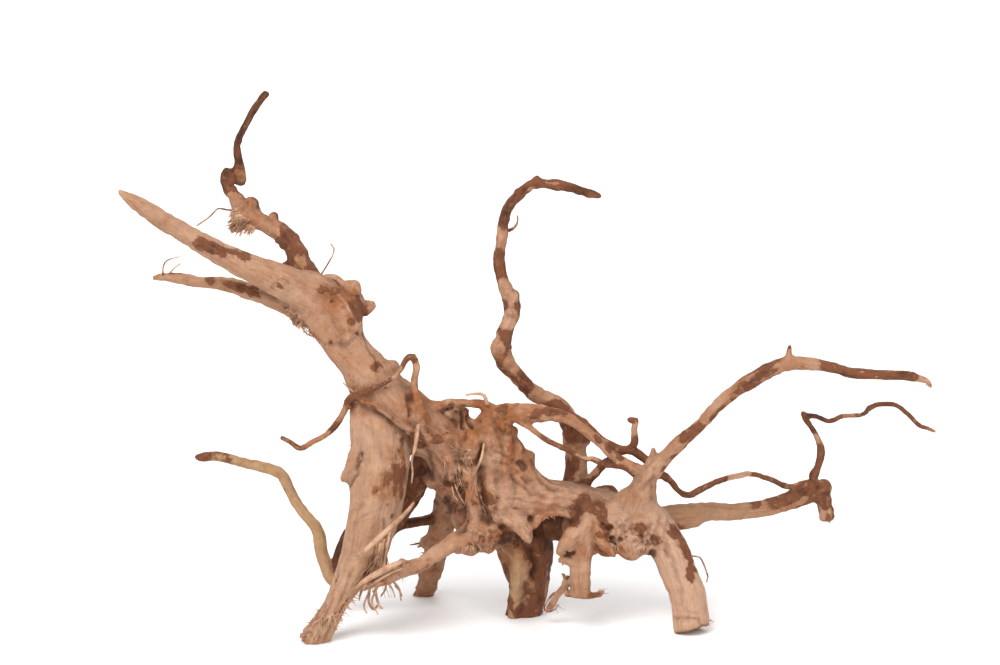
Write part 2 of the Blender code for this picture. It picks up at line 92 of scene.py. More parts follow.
# Stations are (across, up, depth, radius) in mm. Depth grows away from the eye.
ROOTS = {
    "neck": [
        (-108, 174, -2, 7), (-103, 169, -3, 12), (-95.5, 159, -6, 12.8), (-91.5, 150, -7, 10.6),
        (-85, 142, -9, 10.2), (-78.5, 133.5, -10, 11.8), (-73, 124.5, -10, 13.8), (-65.5, 117, -8, 14.8),
        (-54.5, 108.5, -3, 14.2), (-43, 103, 0, 13.8), (-35, 92, 2, 15), (-32, 78, 4, 14), (-32, 68, 4, 8),
    ],
    "long_spike": [
        (-106, 173, -4, 11.5), (-114, 176.5, -6, 9.8), (-126, 182, -9, 8), (-143.5, 189.5, -14, 6.3),
        (-161, 199, -20, 5.4), (-177.5, 208.5, -26, 4.6), (-189.5, 216, -30, 4.3), (-198.5, 222, -33, 3),
        (-204.5, 226, -35, 1.2),
    ],
    "lower_spike": [
        (-106, 167, -2, 9), (-116, 168.5, -1, 6.6), (-126, 171, 1, 4.4), (-133.5, 173.5, 4, 3.7),
        (-142.5, 176.8, 7, 4), (-152, 179.5, 10, 3.3), (-163.5, 180.2, 15, 2.8), (-172, 181.8, 19, 2.8),
        (-181.8, 182.8, 23, 2.1), (-187, 182.2, 26, 1.2),
    ],
    "rising_limb": [
        (-107, 176, 3, 7.5), (-112.8, 186, 8, 6.6), (-115.2, 194, 12, 4.9), (-119.5, 201.5, 16, 5),
        (-123, 205, 19, 4.6), (-131, 209.3, 24, 3.8), (-136.5, 212.3, 28, 5.2), (-141, 215.5, 32, 6.4),
        (-145, 221, 35, 3.8), (-148.8, 226.5, 38, 3), (-150, 231.5, 41, 3.2), (-150, 235.5, 43, 2.4),
        (-146.5, 231.5, 45, 2.3), (-142, 230.5, 45, 2.3), (-143.5, 234.8, 44, 2.6), (-144.2, 241.5, 42, 2),
        (-145.2, 246.5, 41, 1.9), (-144.2, 251.5, 40, 1.9), (-141.8, 256.5, 38, 1.8),
        (-139.4, 261.5, 37, 1.8), (-136.5, 266.5, 36, 1.8), (-133.2, 271.3, 35, 1.9),
        (-129.8, 275.3, 34, 1.7),
    ],
    "left_leg": [
        (-76, 121, -8, 12), (-74.2, 108, -11, 14.4), (-73, 91.5, -14, 14.6), (-74.5, 79, -17, 15),
        (-76, 67.5, -20, 14.4), (-79, 55.5, -23, 12.6), (-83, 42.5, -26, 10.8), (-89, 31.5, -29, 8.6),
        (-95, 20.5, -31, 6.6), (-101, 10, -33, 6.9), (-107.5, -1, -35, 7.4),
    ],
    "rear_limb": [
        (-46, 99, 8, 8.6), (-52.2, 86.5, 9, 6.8), (-59.8, 71.5, 10, 5.6), (-69.5, 58, 10, 4.9),
        (-81, 45, 10, 4.5), (-90.5, 35.5, 9, 4.2), (-95, 30.5, 8, 3.2),
    ],
    "swept_twig": [
        (-90.5, 35.5, 9, 3.4), (-95, 30.5, 8, 3.2), (-99, 34, 8, 3.2), (-101, 40, 9, 3.2),
        (-103, 45.5, 11, 3.3), (-103.5, 52, 13, 3.4), (-106, 58.5, 15, 3), (-110.5, 63.5, 18, 2.9),
        (-115.5, 70.5, 21, 2.8), (-119.5, 77.6, 23, 2.8), (-123.5, 84.5, 26, 2.9), (-133.5, 88, 29, 2.8),
        (-138.5, 89, 31, 2.6), (-146, 91, 33, 2.6), (-153.5, 92.9, 35, 2.4), (-158, 93.2, 37, 2.4),
        (-163, 92.7, 38, 2.2), (-166, 92.6, 39, 1.2),
    ],
    "back_leg": [
        (-38.5, 84, 12, 8), (-38.5, 74, 20, 7), (-41.5, 61.5, 27, 6.6), (-44, 52.5, 33, 6.4),
        (-46.5, 41, 39, 6), (-49.5, 31, 45, 5.2), (-52, 22, 49, 4.8), (-53, 16, 51, 4.8),
    ],
    "back_link": [
        (-41, 63, 28, 3), (-53.5, 60.5, 20, 2.5), (-60.5, 59.5, 15, 2.5), (-68.5, 57, 8, 3),
    ],
    "stump": [
        (-19, 107, 1, 7.5), (-22, 99, 2, 13), (-23, 89, 3, 16.5), (-22.5, 76.5, 3, 18.5),
        (-18.5, 64, 4, 18), (-12, 54, 6, 14.5),
    ],
    "hollow_rib": [
        (-14, 111, -1, 4.8), (-11, 103, -4, 4.8), (-8, 95, -5, 6.4), (-3, 86, -6, 6.8), (5, 77, -6, 7.2),
        (15, 72, -5, 8.2),
    ],
    "shelf_front": [
        (-22, 72, -10, 9), (-10, 70, -14, 7.5), (2, 70, -16, 6.4), (14, 70.5, -16, 5.6), (24, 68.5, -14, 6),
    ],
    "shelf_middle": [
        (-14, 72, 4, 12), (2, 72, 4, 11), (16, 71.5, 4, 10.5), (30, 68, 3, 10.5), (44, 64, 1, 11.5),
    ],
    "shelf_back": [
        (-26, 82, 8, 6), (-14, 77, 15, 8), (2, 74, 18, 8.5), (20, 71, 16, 8.5), (34, 67, 11, 9),
        (46, 64, 5, 9),
    ],
    "lip_tooth": [
        (-9.5, 66, -15, 6), (-4, 62, -19, 5), (0, 56.5, -21, 3), (2, 51.5, -21, 1.2),
    ],
    "front_root": [
        (-14, 57, -8, 9), (-26, 53.5, -14, 7.4), (-33, 51, -18, 6.2), (-38.5, 48.8, -21, 4.4),
        (-43.5, 45, -24, 4.1), (-48.5, 42.3, -26, 3.7), (-53.5, 38.5, -29, 3.6), (-58.5, 37, -31, 3.8),
        (-63.5, 36.5, -33, 4.3), (-68.5, 34, -35, 4.3), (-73.5, 31.3, -37, 3.5), (-78.5, 29.5, -38, 2.6),
        (-82.5, 26.5, -39, 1.9),
    ],
    "middle_leg": [
        (-3, 58, 6, 15.5), (-0.5, 46.5, 8, 14.4), (0, 38, 9, 12.8), (1, 31.5, 11, 10.6), (1, 26.5, 12, 9.6),
        (0, 20.5, 13, 9.1), (-1.5, 14, 14, 9), (-2.5, 4, 15, 9.2),
    ],
    "short_leg": [
        (31, 66.5, -7, 9), (28, 56, -13, 7.6), (26.8, 47.5, -16, 6.2), (26.5, 36.5, -18, 5.2),
        (26.5, 26.5, -19, 4.9), (26.4, 24, -19, 4.9),
    ],
    "short_leg_hook": [
        (26, 56, -15, 5.6), (22, 51.5, -18, 4.4), (18.4, 47.6, -19.5, 3), (15.2, 43.8, -20.5, 1.5),
    ],
    "hook_flap": [
        (25.5, 38, -18, 3.4), (22, 40.2, -19, 2.6), (19, 41, -19.5, 2.2), (16.6, 40.4, -20, 1.7),
    ],
    "torn_wedge": [
        (35, 56.5, -14, 4), (38, 50, -16, 3.4), (41.4, 45.8, -18, 2.2), (44.4, 42.6, -18.5, 1),
    ],
    "rear_stub": [
        (-86, 58, 12, 3), (-90.5, 51, 12, 3.2), (-94, 42.5, 10, 3), (-96, 36.5, 9, 2),
    ],
    "short_leg_root": [
        (20.5, 32.5, -16, 2.6), (18.5, 27.5, -13, 2.1), (14.5, 23, -10, 1.8), (12, 18.5, -8, 1.8),
        (10.5, 15.8, -7, 1.4),
    ],
    "right_crown": [
        (26, 69, 2, 10), (37, 62.5, 0, 11), (47.5, 61, -2, 12.4), (57, 60, -4, 12), (64, 56.5, -5, 10.4),
        (70.3, 47.5, -6, 9.8), (74.8, 36.5, -8, 9.3), (78.6, 28, -11, 9.2), (80.8, 19, -15, 9),
        (81.7, 8.3, -19, 9.3), (82, 6.5, -19.6, 9.2),
    ],
    "long_arc": [
        (50, 62, -3, 11), (56.5, 74, -5, 8.6), (61.5, 83.5, -8, 5.4), (66.5, 89.5, -10, 4.3),
        (71.5, 95, -12, 3.8), (76.5, 100, -15, 3.8), (86.5, 108.8, -19, 3.3), (96.5, 119.5, -24, 3.3),
        (106.5, 127.6, -28, 3.7), (114, 132, -31, 4), (121.5, 136.2, -34, 3.6), (131.5, 139.6, -37, 3.5),
        (144, 139, -41, 2.9), (156.5, 136.6, -44, 2.5), (161.5, 134.8, -46, 2.7), (176.5, 133.9, -49, 2.5),
        (190.5, 133.4, -51, 2.6), (196.5, 131.8, -52, 1.9), (200.5, 130.5, -53, 1.4), (202, 127, -53, 1),
    ],
    "arc_spine": [
        (131, 139, -37, 2.6), (131, 144, -37, 1.6), (131.5, 149, -37, 1),
    ],
    "crown_spur": [
        (61, 88, -8, 2.8), (62.5, 93, -8, 1.8), (63.3, 97.3, -9, 1.2),
    ],
    "top_root": [
        (-23, 106, 0, 6), (-19, 113, -4, 4), (-12, 115.6, -7, 3.6), (-3.5, 115, -10, 4.4),
        (1.5, 114.5, -11, 4.8), (6.5, 114.5, -12, 4.4), (11.5, 114.2, -12, 3.4), (16.5, 113.3, -12, 3.1),
        (21.5, 111.5, -12, 2.7), (26.5, 108, -11, 2.5), (31.5, 104, -11, 2.4), (36.5, 99.5, -10, 2.2),
        (41.5, 94.5, -9, 2.1), (46.5, 92, -8, 2), (51.5, 89, -8, 2), (58, 85, -7, 3.2),
    ],
    "top_bridge": [
        (-52, 116, -8, 5.5), (-43.5, 118.5, -6, 2.8), (-38.5, 120, -4, 2.2), (-30, 119.6, -3, 1.9),
        (-22.5, 119, -3, 2.4), (-17.5, 116, -4, 3.4),
    ],
    "parallel_root": [
        (28, 78, 12, 3.4), (30.5, 81, 13, 2.3), (33.5, 84, 12, 2), (36.5, 87.3, 10, 2),
        (39.5, 90.5, 8, 1.9), (43, 92.3, 5, 2),
    ],
    "tall_limb": [
        (25.5, 71, 13, 7.4), (24.6, 81.5, 17, 6.2), (24.5, 91.5, 19, 5.3), (24, 99, 20, 5.5),
        (22.5, 106.5, 19, 5), (17.5, 116.5, 17, 4.4), (9.5, 121.5, 16, 4.4), (1.5, 126.5, 14, 3.9),
        (-7.8, 136.5, 12, 4.2), (-11.5, 142, 11, 4.7), (-13, 148, 10, 5), (-12, 151.5, 9, 4.1),
        (-9.5, 159, 8, 3.3), (-7.8, 164.5, 8, 4.1), (-8, 172, 6, 4), (-10.5, 176.5, 5, 3.3),
        (-13, 184, 4, 3), (-14, 192.5, 3, 2.6), (-12.7, 201.5, 1, 2.7), (-11.5, 211.5, -1, 2.5),
        (-10, 216.5, -2, 2.5), (-6.3, 221.7, -3, 2.5), (1.5, 228.7, -5, 2.5), (6.5, 229.5, -6, 2.4),
        (11.5, 229.1, -6, 2.4), (16.5, 228.4, -6, 2.8), (21.5, 227.4, -6, 2.3), (31.5, 224.3, -5, 2.1),
        (37.3, 223.1, -5, 1.2),
    ],
    "tall_limb_nub": [
        (28, 101, 19, 3.4), (31.5, 100.8, 19, 1.8),
    ],
    "thin_root": [
        (-11, 114, -9, 2.2), (-7.5, 112.5, -11, 1.7), (1.5, 107.3, -14, 1.6), (6.5, 103.6, -15, 1.5),
        (11.5, 100.2, -15, 1.5), (16.5, 98, -15, 1.4), (21.5, 95.7, -14, 1.4), (29, 91.8, -12, 1.4),
        (32.5, 92, -11, 1.4), (39, 89, -9, 1.5), (48.5, 88, -8, 1.6), (54.5, 84.5, -7, 2.2),
    ],
    "under_root": [
        (63, 84, 0, 3), (67.3, 84.2, 2, 2), (71.8, 80.8, 4, 1.8), (75.8, 75.8, 6, 1.7),
        (80.8, 73.5, 8, 1.7), (86.5, 76.3, 10, 1.6), (96.5, 81, 15, 1.5), (107.8, 83.8, 20, 1.5),
        (113.4, 84.2, 23, 1.5), (121.8, 81.5, 27, 1.5), (130.8, 77.8, 31, 1.5), (139, 79.5, 34, 1.8),
        (144, 78.5, 34, 2.4),
    ],
    "twiglet": [
        (46.5, 95.3, 2, 2), (50, 96.5, 0, 1.7), (53.5, 99, -2, 1.7), (53.8, 103.5, -3, 1.7),
        (53.5, 107.5, -4, 1.7), (54.6, 111, -4, 1.6), (50, 111.3, -4, 1.2),
    ],
    "small_loop": [
        (28, 70, 8, 2.6), (31.5, 74.3, 10, 1.8), (36.5, 76.6, 10, 1.6), (42.5, 77, 9, 1.6),
        (44, 73.5, 7, 2),
    ],
    "right_limb": [
        (58, 62, 4, 9), (64, 62, 7, 6.4), (76.5, 62.8, 12, 6.2), (81.5, 63.2, 15, 6), (86.5, 64.9, 18, 5.1),
        (91.5, 65.7, 21, 4.7), (101.5, 65.3, 25, 4.3), (111.5, 66, 28, 4.2), (121.5, 67.8, 31, 4.3),
        (131.5, 71, 33, 4.5), (139, 74, 34, 5), (144.5, 76.5, 34, 5),
    ],
    "right_limb_stub": [
        (144.8, 76.5, 34, 5), (148, 71.5, 34, 4.4), (149.3, 66.5, 33, 4.2), (151, 61.3, 32, 4.2),
    ],
    "wire_riser": [
        (142.5, 82, 34, 2.6), (144.8, 86.5, 34, 1.9), (146.5, 91.5, 35, 1.8), (147, 97, 36, 1.8),
        (145.3, 102.1, 35, 1.6), (142.5, 107.2, 34, 1.5), (139.7, 111, 32, 1.5), (137.6, 115.3, 30, 1.4),
    ],
    "wire_tip": [
        (138.3, 113.4, 31, 1.5), (144.2, 113.3, 31, 1.3), (149.3, 111, 32, 1.3), (152.5, 110.8, 33, 1.4),
        (158, 113.2, 34, 1.3), (167.8, 113.9, 36, 1.3), (170.5, 116.7, 37, 1.4), (174, 118.6, 38, 1.5),
        (179, 119.3, 39, 1.4), (184.5, 118.7, 40, 1.3), (188, 116.4, 41, 1.3), (192.5, 112.2, 42, 1.4),
        (196.4, 108.3, 43, 1.3), (200.3, 107.2, 43, 1.2), (204.5, 105.1, 44, 1),
    ],
    "looping_root": [
        (-54, 104, -14, 4.5), (-54.5, 118, -17, 3), (-56.5, 129, -17, 2), (-55.3, 137.5, -17, 1.8),
        (-57, 143, -17, 1.6), (-60.5, 141.5, -18, 1.6), (-63, 136.5, -21, 1.4), (-69, 131, -24.2, 1.2),
        (-76.5, 127, -25, 1.2), (-83, 124.5, -22.5, 1.4), (-88, 122, -16, 2.2), (-91, 116.5, -14, 1.7),
        (-95, 109.5, -13, 1.6), (-101, 103.5, -14, 1.5), (-107, 100.5, -15, 1.5), (-113, 97, -16, 1.5),
        (-118, 100, -17, 1.3), (-123.5, 103, -18, 1.2),
    ],
    "crossing_root": [
        (-83.5, 121, -21.5, 1.3), (-74, 116, -25, 1.1), (-65.5, 110, -25, 1.1), (-58, 105.6, -20.5, 2),
        (-50, 102.4, -15, 3.6), (-41, 102.5, -10, 4.8),
    ],
    "bark_flake": [
        (-83, 97, -19, 4.6), (-87.5, 88, -20, 3.7), (-91.5, 80.5, -19, 2.4),
    ],
    "crown_horn": [
        (-90, 165, 0, 5), (-81, 167, 2, 3.6), (-75.5, 169.5, 3, 1.5),
    ],
    "crown_handle": [
        (-104, 180, -3, 2.6), (-98.5, 183, -3, 1.4), (-93.5, 181, -3, 1.3), (-91, 175, -3, 2.2),
    ],
    "burl_tuft": [
        (-141, 214, 31, 4.5), (-144.5, 208.5, 30, 3.4), (-148.5, 206, 29, 1.6),
    ],
    "rear_root": [
        (18, 114, 10, 3.6), (26.5, 110, 8, 2.7), (31.5, 106.5, 6, 2.4), (36.5, 101.5, 4, 2.3),
        (41.5, 98.5, 3, 2.2), (45.5, 96.5, 2, 2.2), (53, 95.8, 0, 2), (57.5, 93, -1, 1.9),
        (61.5, 90, -3, 2.2),
    ],
    "hollow_back": [
        (-46, 102, 6, 8), (-33, 105, 8, 7.5), (-24, 104, 7, 7), (-16, 99, 6, 7),
    ],
    "cave_back": [
        (2, 63, 6, 9), (14, 59, 2, 8.4), (26, 58, -3, 8),
    ],
    "short_leg_twig": [
        (18.5, 24.5, -18, 1.5), (27, 23.5, -21, 1.8), (34, 23.5, -22, 1.6), (38, 24.5, -22, 1.2),
    ],
    "lip_left": [
        (-15.5, 63.5, -14, 3), (-10, 62.5, -18, 2.6), (-5.5, 59.5, -21, 2.2), (-2.5, 55.5, -23, 1.8),
        (0, 51.5, -24, 1),
    ],
    "lip_right": [
        (0, 55, -23, 1.6), (3, 59, -22, 2), (6.5, 62.5, -20, 2.2), (12, 65, -19, 2.2), (18, 65, -18, 2.4),
        (25, 63, -14, 3),
    ],
    "groin_column": [
        (-30, 100, -8, 5), (-28.5, 88, -12, 4.4), (-28, 76, -14, 4.2), (-26.5, 66, -14, 4),
        (-24, 58, -13, 3.4),
    ],
    "left_strand": [
        (-52, 106, -10, 5), (-45, 100, -11, 4.6), (-39, 92, -11, 4.2), (-37, 84, -10, 3.4),
        (-38, 78, -6, 2.6),
    ],
    "middle_leg_strip": [
        (-4, 46, -4.5, 3.6), (-4.5, 38, -2.5, 4), (-5, 29, 1.2, 3.6), (-6.5, 20, 4, 3.2), (-7, 12, 6, 2.8),
    ],
}

# Knots and swellings, as (across, up, depth, radius) in mm.
LUMPS = [
    (-90.5, 170, 1, 9), (-99, 178, 2, 5.5), (-97, 158, -10, 8.5), (-113, 163, -4, 6),
    (-108.5, 186.5, 8, 2.8), (-121, 188, 10, 2.2), (-127, 213, 22, 2.4), (-138, 219, 29, 3.4),
    (-143, 212, 28, 4.6), (-145.5, 236.5, 43, 1.8), (-47, 81.5, 2, 4.2), (2.5, 93.5, -4, 3.6),
    (-27, 56, -14, 7.5), (-20, 50, -13, 6), (-34, 49, -16, 5), (40, 50, -8, 7), (52, 48, -12, 7),
    (62, 48, -12, 4.6), (57, 51, -8, 7), (33, 48, -13, 4.2), (-68, 136.5, -10, 5.2), (-51, 50, 33, 3.4),
    (24, 58, -8, 7), (5, 231.6, -6, 1.8), (148, 77, 34, 4.4), (-13.5, 101.5, -3, 8.5), (-15, 91.5, -5, 8.5),
    (-13.5, 81.5, -7, 8.5), (-11, 72.5, -9, 7.5), (-5.5, 86.5, -4, 7.5), (-3.5, 77.5, -8, 8),
    (-1.5, 70, -11, 6.4), (6.5, 78, -5, 7), (9, 71.5, -9, 7), (17.5, 74, -6, 6.6), (26.5, 70.5, -7, 7),
    (-23.5, 101.5, -5, 7.5), (-28.5, 91.5, -6, 8), (-38.5, 99, -4, 8.5), (-43.5, 109, -4, 7.5),
    (-37, 87.5, -5, 7.5), (-27.5, 76.5, -8, 7.5), (-26.5, 67.5, -10, 6.4), (39, 67.5, -2, 6),
    (62.5, 60.5, -4, 7), (-18.5, 109, -4, 5.5), (-36, 114.5, 1, 4.6), (-32.5, 113, 1, 4.6),
    (-39, 113.5, 0, 4.6), (-32, 110, 0, 5), (-35, 116, -4, 2.4), (-104.5, 171.5, -4, 8),
    (-100.5, 163.5, -5, 8), (45.5, 56.5, -11, 5), (55.5, 55.5, -12, 5.4), (60.5, 51.5, -10, 4.6),
    (20, 45.5, -13, 4.6), (23, 47.5, -14, 5), (32.5, 62, -11, 5), (2.5, 95.5, -4, 2.6),
    (3.5, 90.5, -4, 2.6), (-6.5, 105.5, -5, 3.4), (-47.5, 79, -4, 3.2), (-11, 109.5, -9, 4),
    (-3, 98.5, -6, 3.2), (41.5, 45.5, -14, 3), (-87.5, 176.5, -2, 5), (-71.5, 129.5, -14, 2),
    (-84.5, 162.5, -8, 4), (51.5, 51.5, -12, 7), (-28.5, 49.5, -13, 7), (-21.5, 52.5, -14, 6.4),
]

# Hollows that go deep into the crown, as (across, up, depth, radius) in mm.
HOLLOWS = [
    (12.5, 57.5, -15, 5.8), (6.5, 55, -10, 5), (-33, 109, -8, 4.4), (-25.5, 111, -7, 3),
    (-3.5, 88, -14, 2.6), (-9, 51, -14, 6.5), (-5.5, 48, -12, 5), (16.5, 59.5, -15, 4.6),
    (21, 44.8, -21.5, 2.7), (23, 45, -22.5, 2.2), (19, 44, -21.5, 1.8), (-34.5, 71.5, -8, 3.6),
    (-33.5, 64, -8, 3.6),
]

# Ridges and grooves on the side that the eye sees, as (height, width, route) in mm. A groove's height is
# negative.
FOLDS = [
    (1.3, 1.5, [(-15.5, 62.5), (-11, 61), (-7, 59), (-3.5, 55), (0, 51)]),
    (1.3, 1.5, [(0, 51), (3, 57), (5.5, 62), (9.5, 65), (14.5, 65.5), (23, 64)]),
    (-2.6, 1.7, [(-23, 98.5), (-23, 86.5), (-22.5, 76.5), (-21.5, 65.5), (-19, 60.5)]),
    (-4, 2.4, [(-35.5, 82.5), (-34, 74), (-32, 64), (-32.5, 56.5)]),
    (0.9, 1.5, [(-11, 86.5), (-10, 74), (-13.5, 65.5)]),
    (0.9, 1.5, [(-6, 94), (-3.5, 81.5), (-1, 71.5), (2.5, 65.5)]),
    (1, 1.8, [(0.5, 87.5), (6.5, 76.5), (14, 71.5), (25.5, 69)]),
    (1, 1.5, [(-7.5, 106.5), (-11, 96.5), (-12, 86.5)]),
    (0.9, 1.2, [(-4, 97.5), (-3, 90.5), (-6.5, 84.5)]),
    (0.9, 1.6, [(-19.5, 106.5), (-20, 94), (-17.5, 81.5)]),
    (1, 2, [(-28.5, 105.5), (-29.5, 91.5), (-27.5, 71.5), (-26.5, 60.5)]),
    (-1.1, 0.8, [(-8, 83.5), (-4.5, 79.5), (-0.5, 77.5)]),
    (-0.9, 0.7, [(-16.5, 95.5), (-11, 92.5), (-7, 90.5), (-3.5, 88.5)]),
    (-0.8, 0.6, [(-17.5, 90.5), (-10.5, 88.5), (-7.5, 86.5)]),
    (-0.8, 0.7, [(6.5, 79), (12.5, 76.5), (18, 75.5)]),
    (-0.7, 0.7, [(-9.5, 72.5), (1.5, 70), (12.5, 68.5), (24, 66)]),
    (-0.8, 0.9, [(-15, 81.5), (-14.5, 72.5), (-16.5, 65.5)]),
    (-3.2, 0.9, [(-41.5, 115), (-40, 117), (-37.5, 118.5)]),
    (-3, 0.9, [(-32.5, 117.5), (-29.5, 114.5), (-29, 110), (-28, 107.5)]),
    (-2.4, 0.8, [(-34.5, 117.5), (-32.5, 115), (-31.5, 111), (-32.5, 108)]),
    (-1.6, 0.8, [(-40.5, 113.5), (-37.5, 111.5), (-35, 108)]),
    (1.2, 2, [(-35.5, 103), (-31.5, 104.5), (-27, 103), (-24.5, 98.5), (-25.5, 93.5), (-29.5, 90.5)]),
    (-2, 1.4, [(-34, 90.5), (-29.5, 89), (-24.5, 90.5), (-22.5, 95.5)]),
    (-2, 1.2, [(-23.5, 86.5), (-23, 79), (-21.5, 70.5)]),
    (1.4, 1.1, [(-5.5, 60), (-2, 56.5), (0.5, 51)]),
    (-1.6, 1, [(2, 62), (3, 56.5), (2, 52)]),
    (1, 1.2, [(-10.5, 95.5), (-8.5, 91.5), (-9, 87.5), (-5.5, 85.5)]),
    (-1.2, 0.8, [(-13.5, 101.5), (-12, 95.5), (-12.5, 88.5)]),
    (1.1, 1.2, [(-41.5, 81.5), (-38.5, 82.5), (-35, 81), (-30.5, 81.5)]),
    (-1.5, 0.9, [(-37.5, 77), (-34, 76.5), (-30, 78.5)]),
    (-0.8, 0.8, [(-3.5, 77.5), (6.5, 73), (19.5, 71)]),
    (-0.7, 0.7, [(-6.5, 81.5), (-5.5, 74), (-7.5, 67.5)]),
    (-1.2, 1.2, [(-57.5, 105.5), (-51.5, 99), (-47.5, 90.5), (-47, 81.5)]),
    (-0.9, 0.9, [(-43.5, 95.5), (-40, 87.5), (-40.5, 78.5)]),
    (-2.2, 0.9, [(-59, 123), (-58.5, 118.5), (-59, 113.5)]),
    (-1, 0.6, [(-83.5, 120.5), (-77.5, 117.5), (-69.5, 111.5), (-61.5, 105.5)]),
    (-0.4, 0.4, [(-89, 65.5), (-84.5, 67), (-82, 69.5)]),
    (-0.3, 0.4, [(-75.5, 105), (-71, 103), (-68, 103.5)]),
    (0.7, 2.2, [(-19.5, 87.5), (-13.5, 90.5), (-7.5, 88.5)]),
    (-1.4, 0.9, [(-7.5, 102.5), (-6, 97.5), (-6.5, 91.5)]),
    (0.9, 1.3, [(4.5, 86.5), (10.5, 78.5), (19.5, 75.5)]),
    (0.9, 1.4, [(-53.5, 115.5), (-43.5, 109), (-36, 101.5), (-32.5, 95.5)]),
    (-0.6, 0.5, [(-127.5, 178), (-124.5, 181), (-121, 181.5), (-118.5, 180)]),
    (-1.3, 0.9, [(-82, 154), (-79.5, 147.5), (-75, 142.5), (-74.5, 135.5)]),
    (-0.6, 0.9, [(-104.5, 151), (-97.5, 149), (-90.5, 149), (-83.5, 153.5)]),
    (-1.6, 0.8, [(-82.5, 94.5), (-84, 88.5), (-86.5, 82.5), (-89, 78)]),
    (-0.5, 1.5, [(-82.5, 110), (-74.5, 101.5), (-71, 86.5), (-71.5, 71.5), (-75.5, 56.5), (-79.5, 41.5)]),
    (-1.1, 0.7, [(-77.5, 26.5), (-74.5, 36.5), (-73, 49)]),
    (-1.1, 0.7, [(-80.5, 25.5), (-77, 35.5), (-75.5, 47.5)]),
    (-1, 0.6, [(-74, 34), (-70.5, 49), (-71, 61.5)]),
    (-0.9, 0.6, [(-83, 27.5), (-80, 35.5), (-77.5, 43.5)]),
    (-0.7, 0.7, [(-104.5, 1.5), (-102.5, 10.5), (-97, 21.5)]),
    (-0.7, 0.7, [(-100, 2.5), (-95.5, 15.5), (-91, 26.5), (-87.5, 36.5)]),
    (-0.6, 0.6, [(-109, 3.5), (-105.5, 11.5), (-101, 18.5)]),
    (-0.5, 0.6, [(-87, 59), (-82.5, 63), (-78.5, 64.5)]),
    (-0.9, 1.2, [(66.5, 62.5), (64.5, 55.5), (66, 46.5)]),
    (-0.8, 1.2, [(70.5, 61.5), (69, 53), (71, 43)]),
    (-0.7, 1, [(62, 59.5), (60.5, 53.5), (62.5, 47.5)]),
    (-0.6, 1, [(72.5, 41.5), (76.5, 29), (78, 15.5)]),
    (1.3, 2.3, [(-3.5, 43.5), (-4.5, 31.5), (-6.5, 20.5)]),
    (-3.2, 2, [(2, 45.5), (4.5, 39), (3, 31.5)]),
    (-0.9, 0.8, [(64, 86.5), (61.5, 80.5), (62.5, 71.5)]),
    (-0.6, 0.8, [(69, 90.5), (65, 84), (56.5, 76.5)]),
    (-0.9, 0.5, [(73, 12), (77, 13), (81.5, 12.5), (85.5, 11), (88, 8.5)]),
    (-0.6, 0.5, [(80, 15.5), (82.5, 14.5), (85, 15)]),
]

# Small holes on that side, as (across, up, radius) in mm.
PITS = [
    (-98.5, 150.5, 0.9), (-85, 154.5, 1), (-98, 170.5, 0.5), (-92, 167.5, 0.5), (-3.5, 89.5, 1.9),
    (-2, 87.5, 1.6), (41, 57, 1.4), (57, 53, 1.2), (-40, 70.5, 1.6), (-36.5, 68, 1.2), (-38.5, 65, 1),
    (41.5, 57.5, 1.3), (62.5, 44.5, 1.9), (46.5, 51.5, 1.1), (-28.5, 49, 1), (-21.5, 51, 0.8),
    (-24.5, 46.5, 0.9), (-12.5, 58, 1.5), (-72, 30.5, 0.6), (1, 81, 0.5), (20.5, 78, 0.5), (15, 77, 0.5),
    (-65.5, 105, 0.5), (-73, 94, 0.4), (-77, 108, 0.4),
]

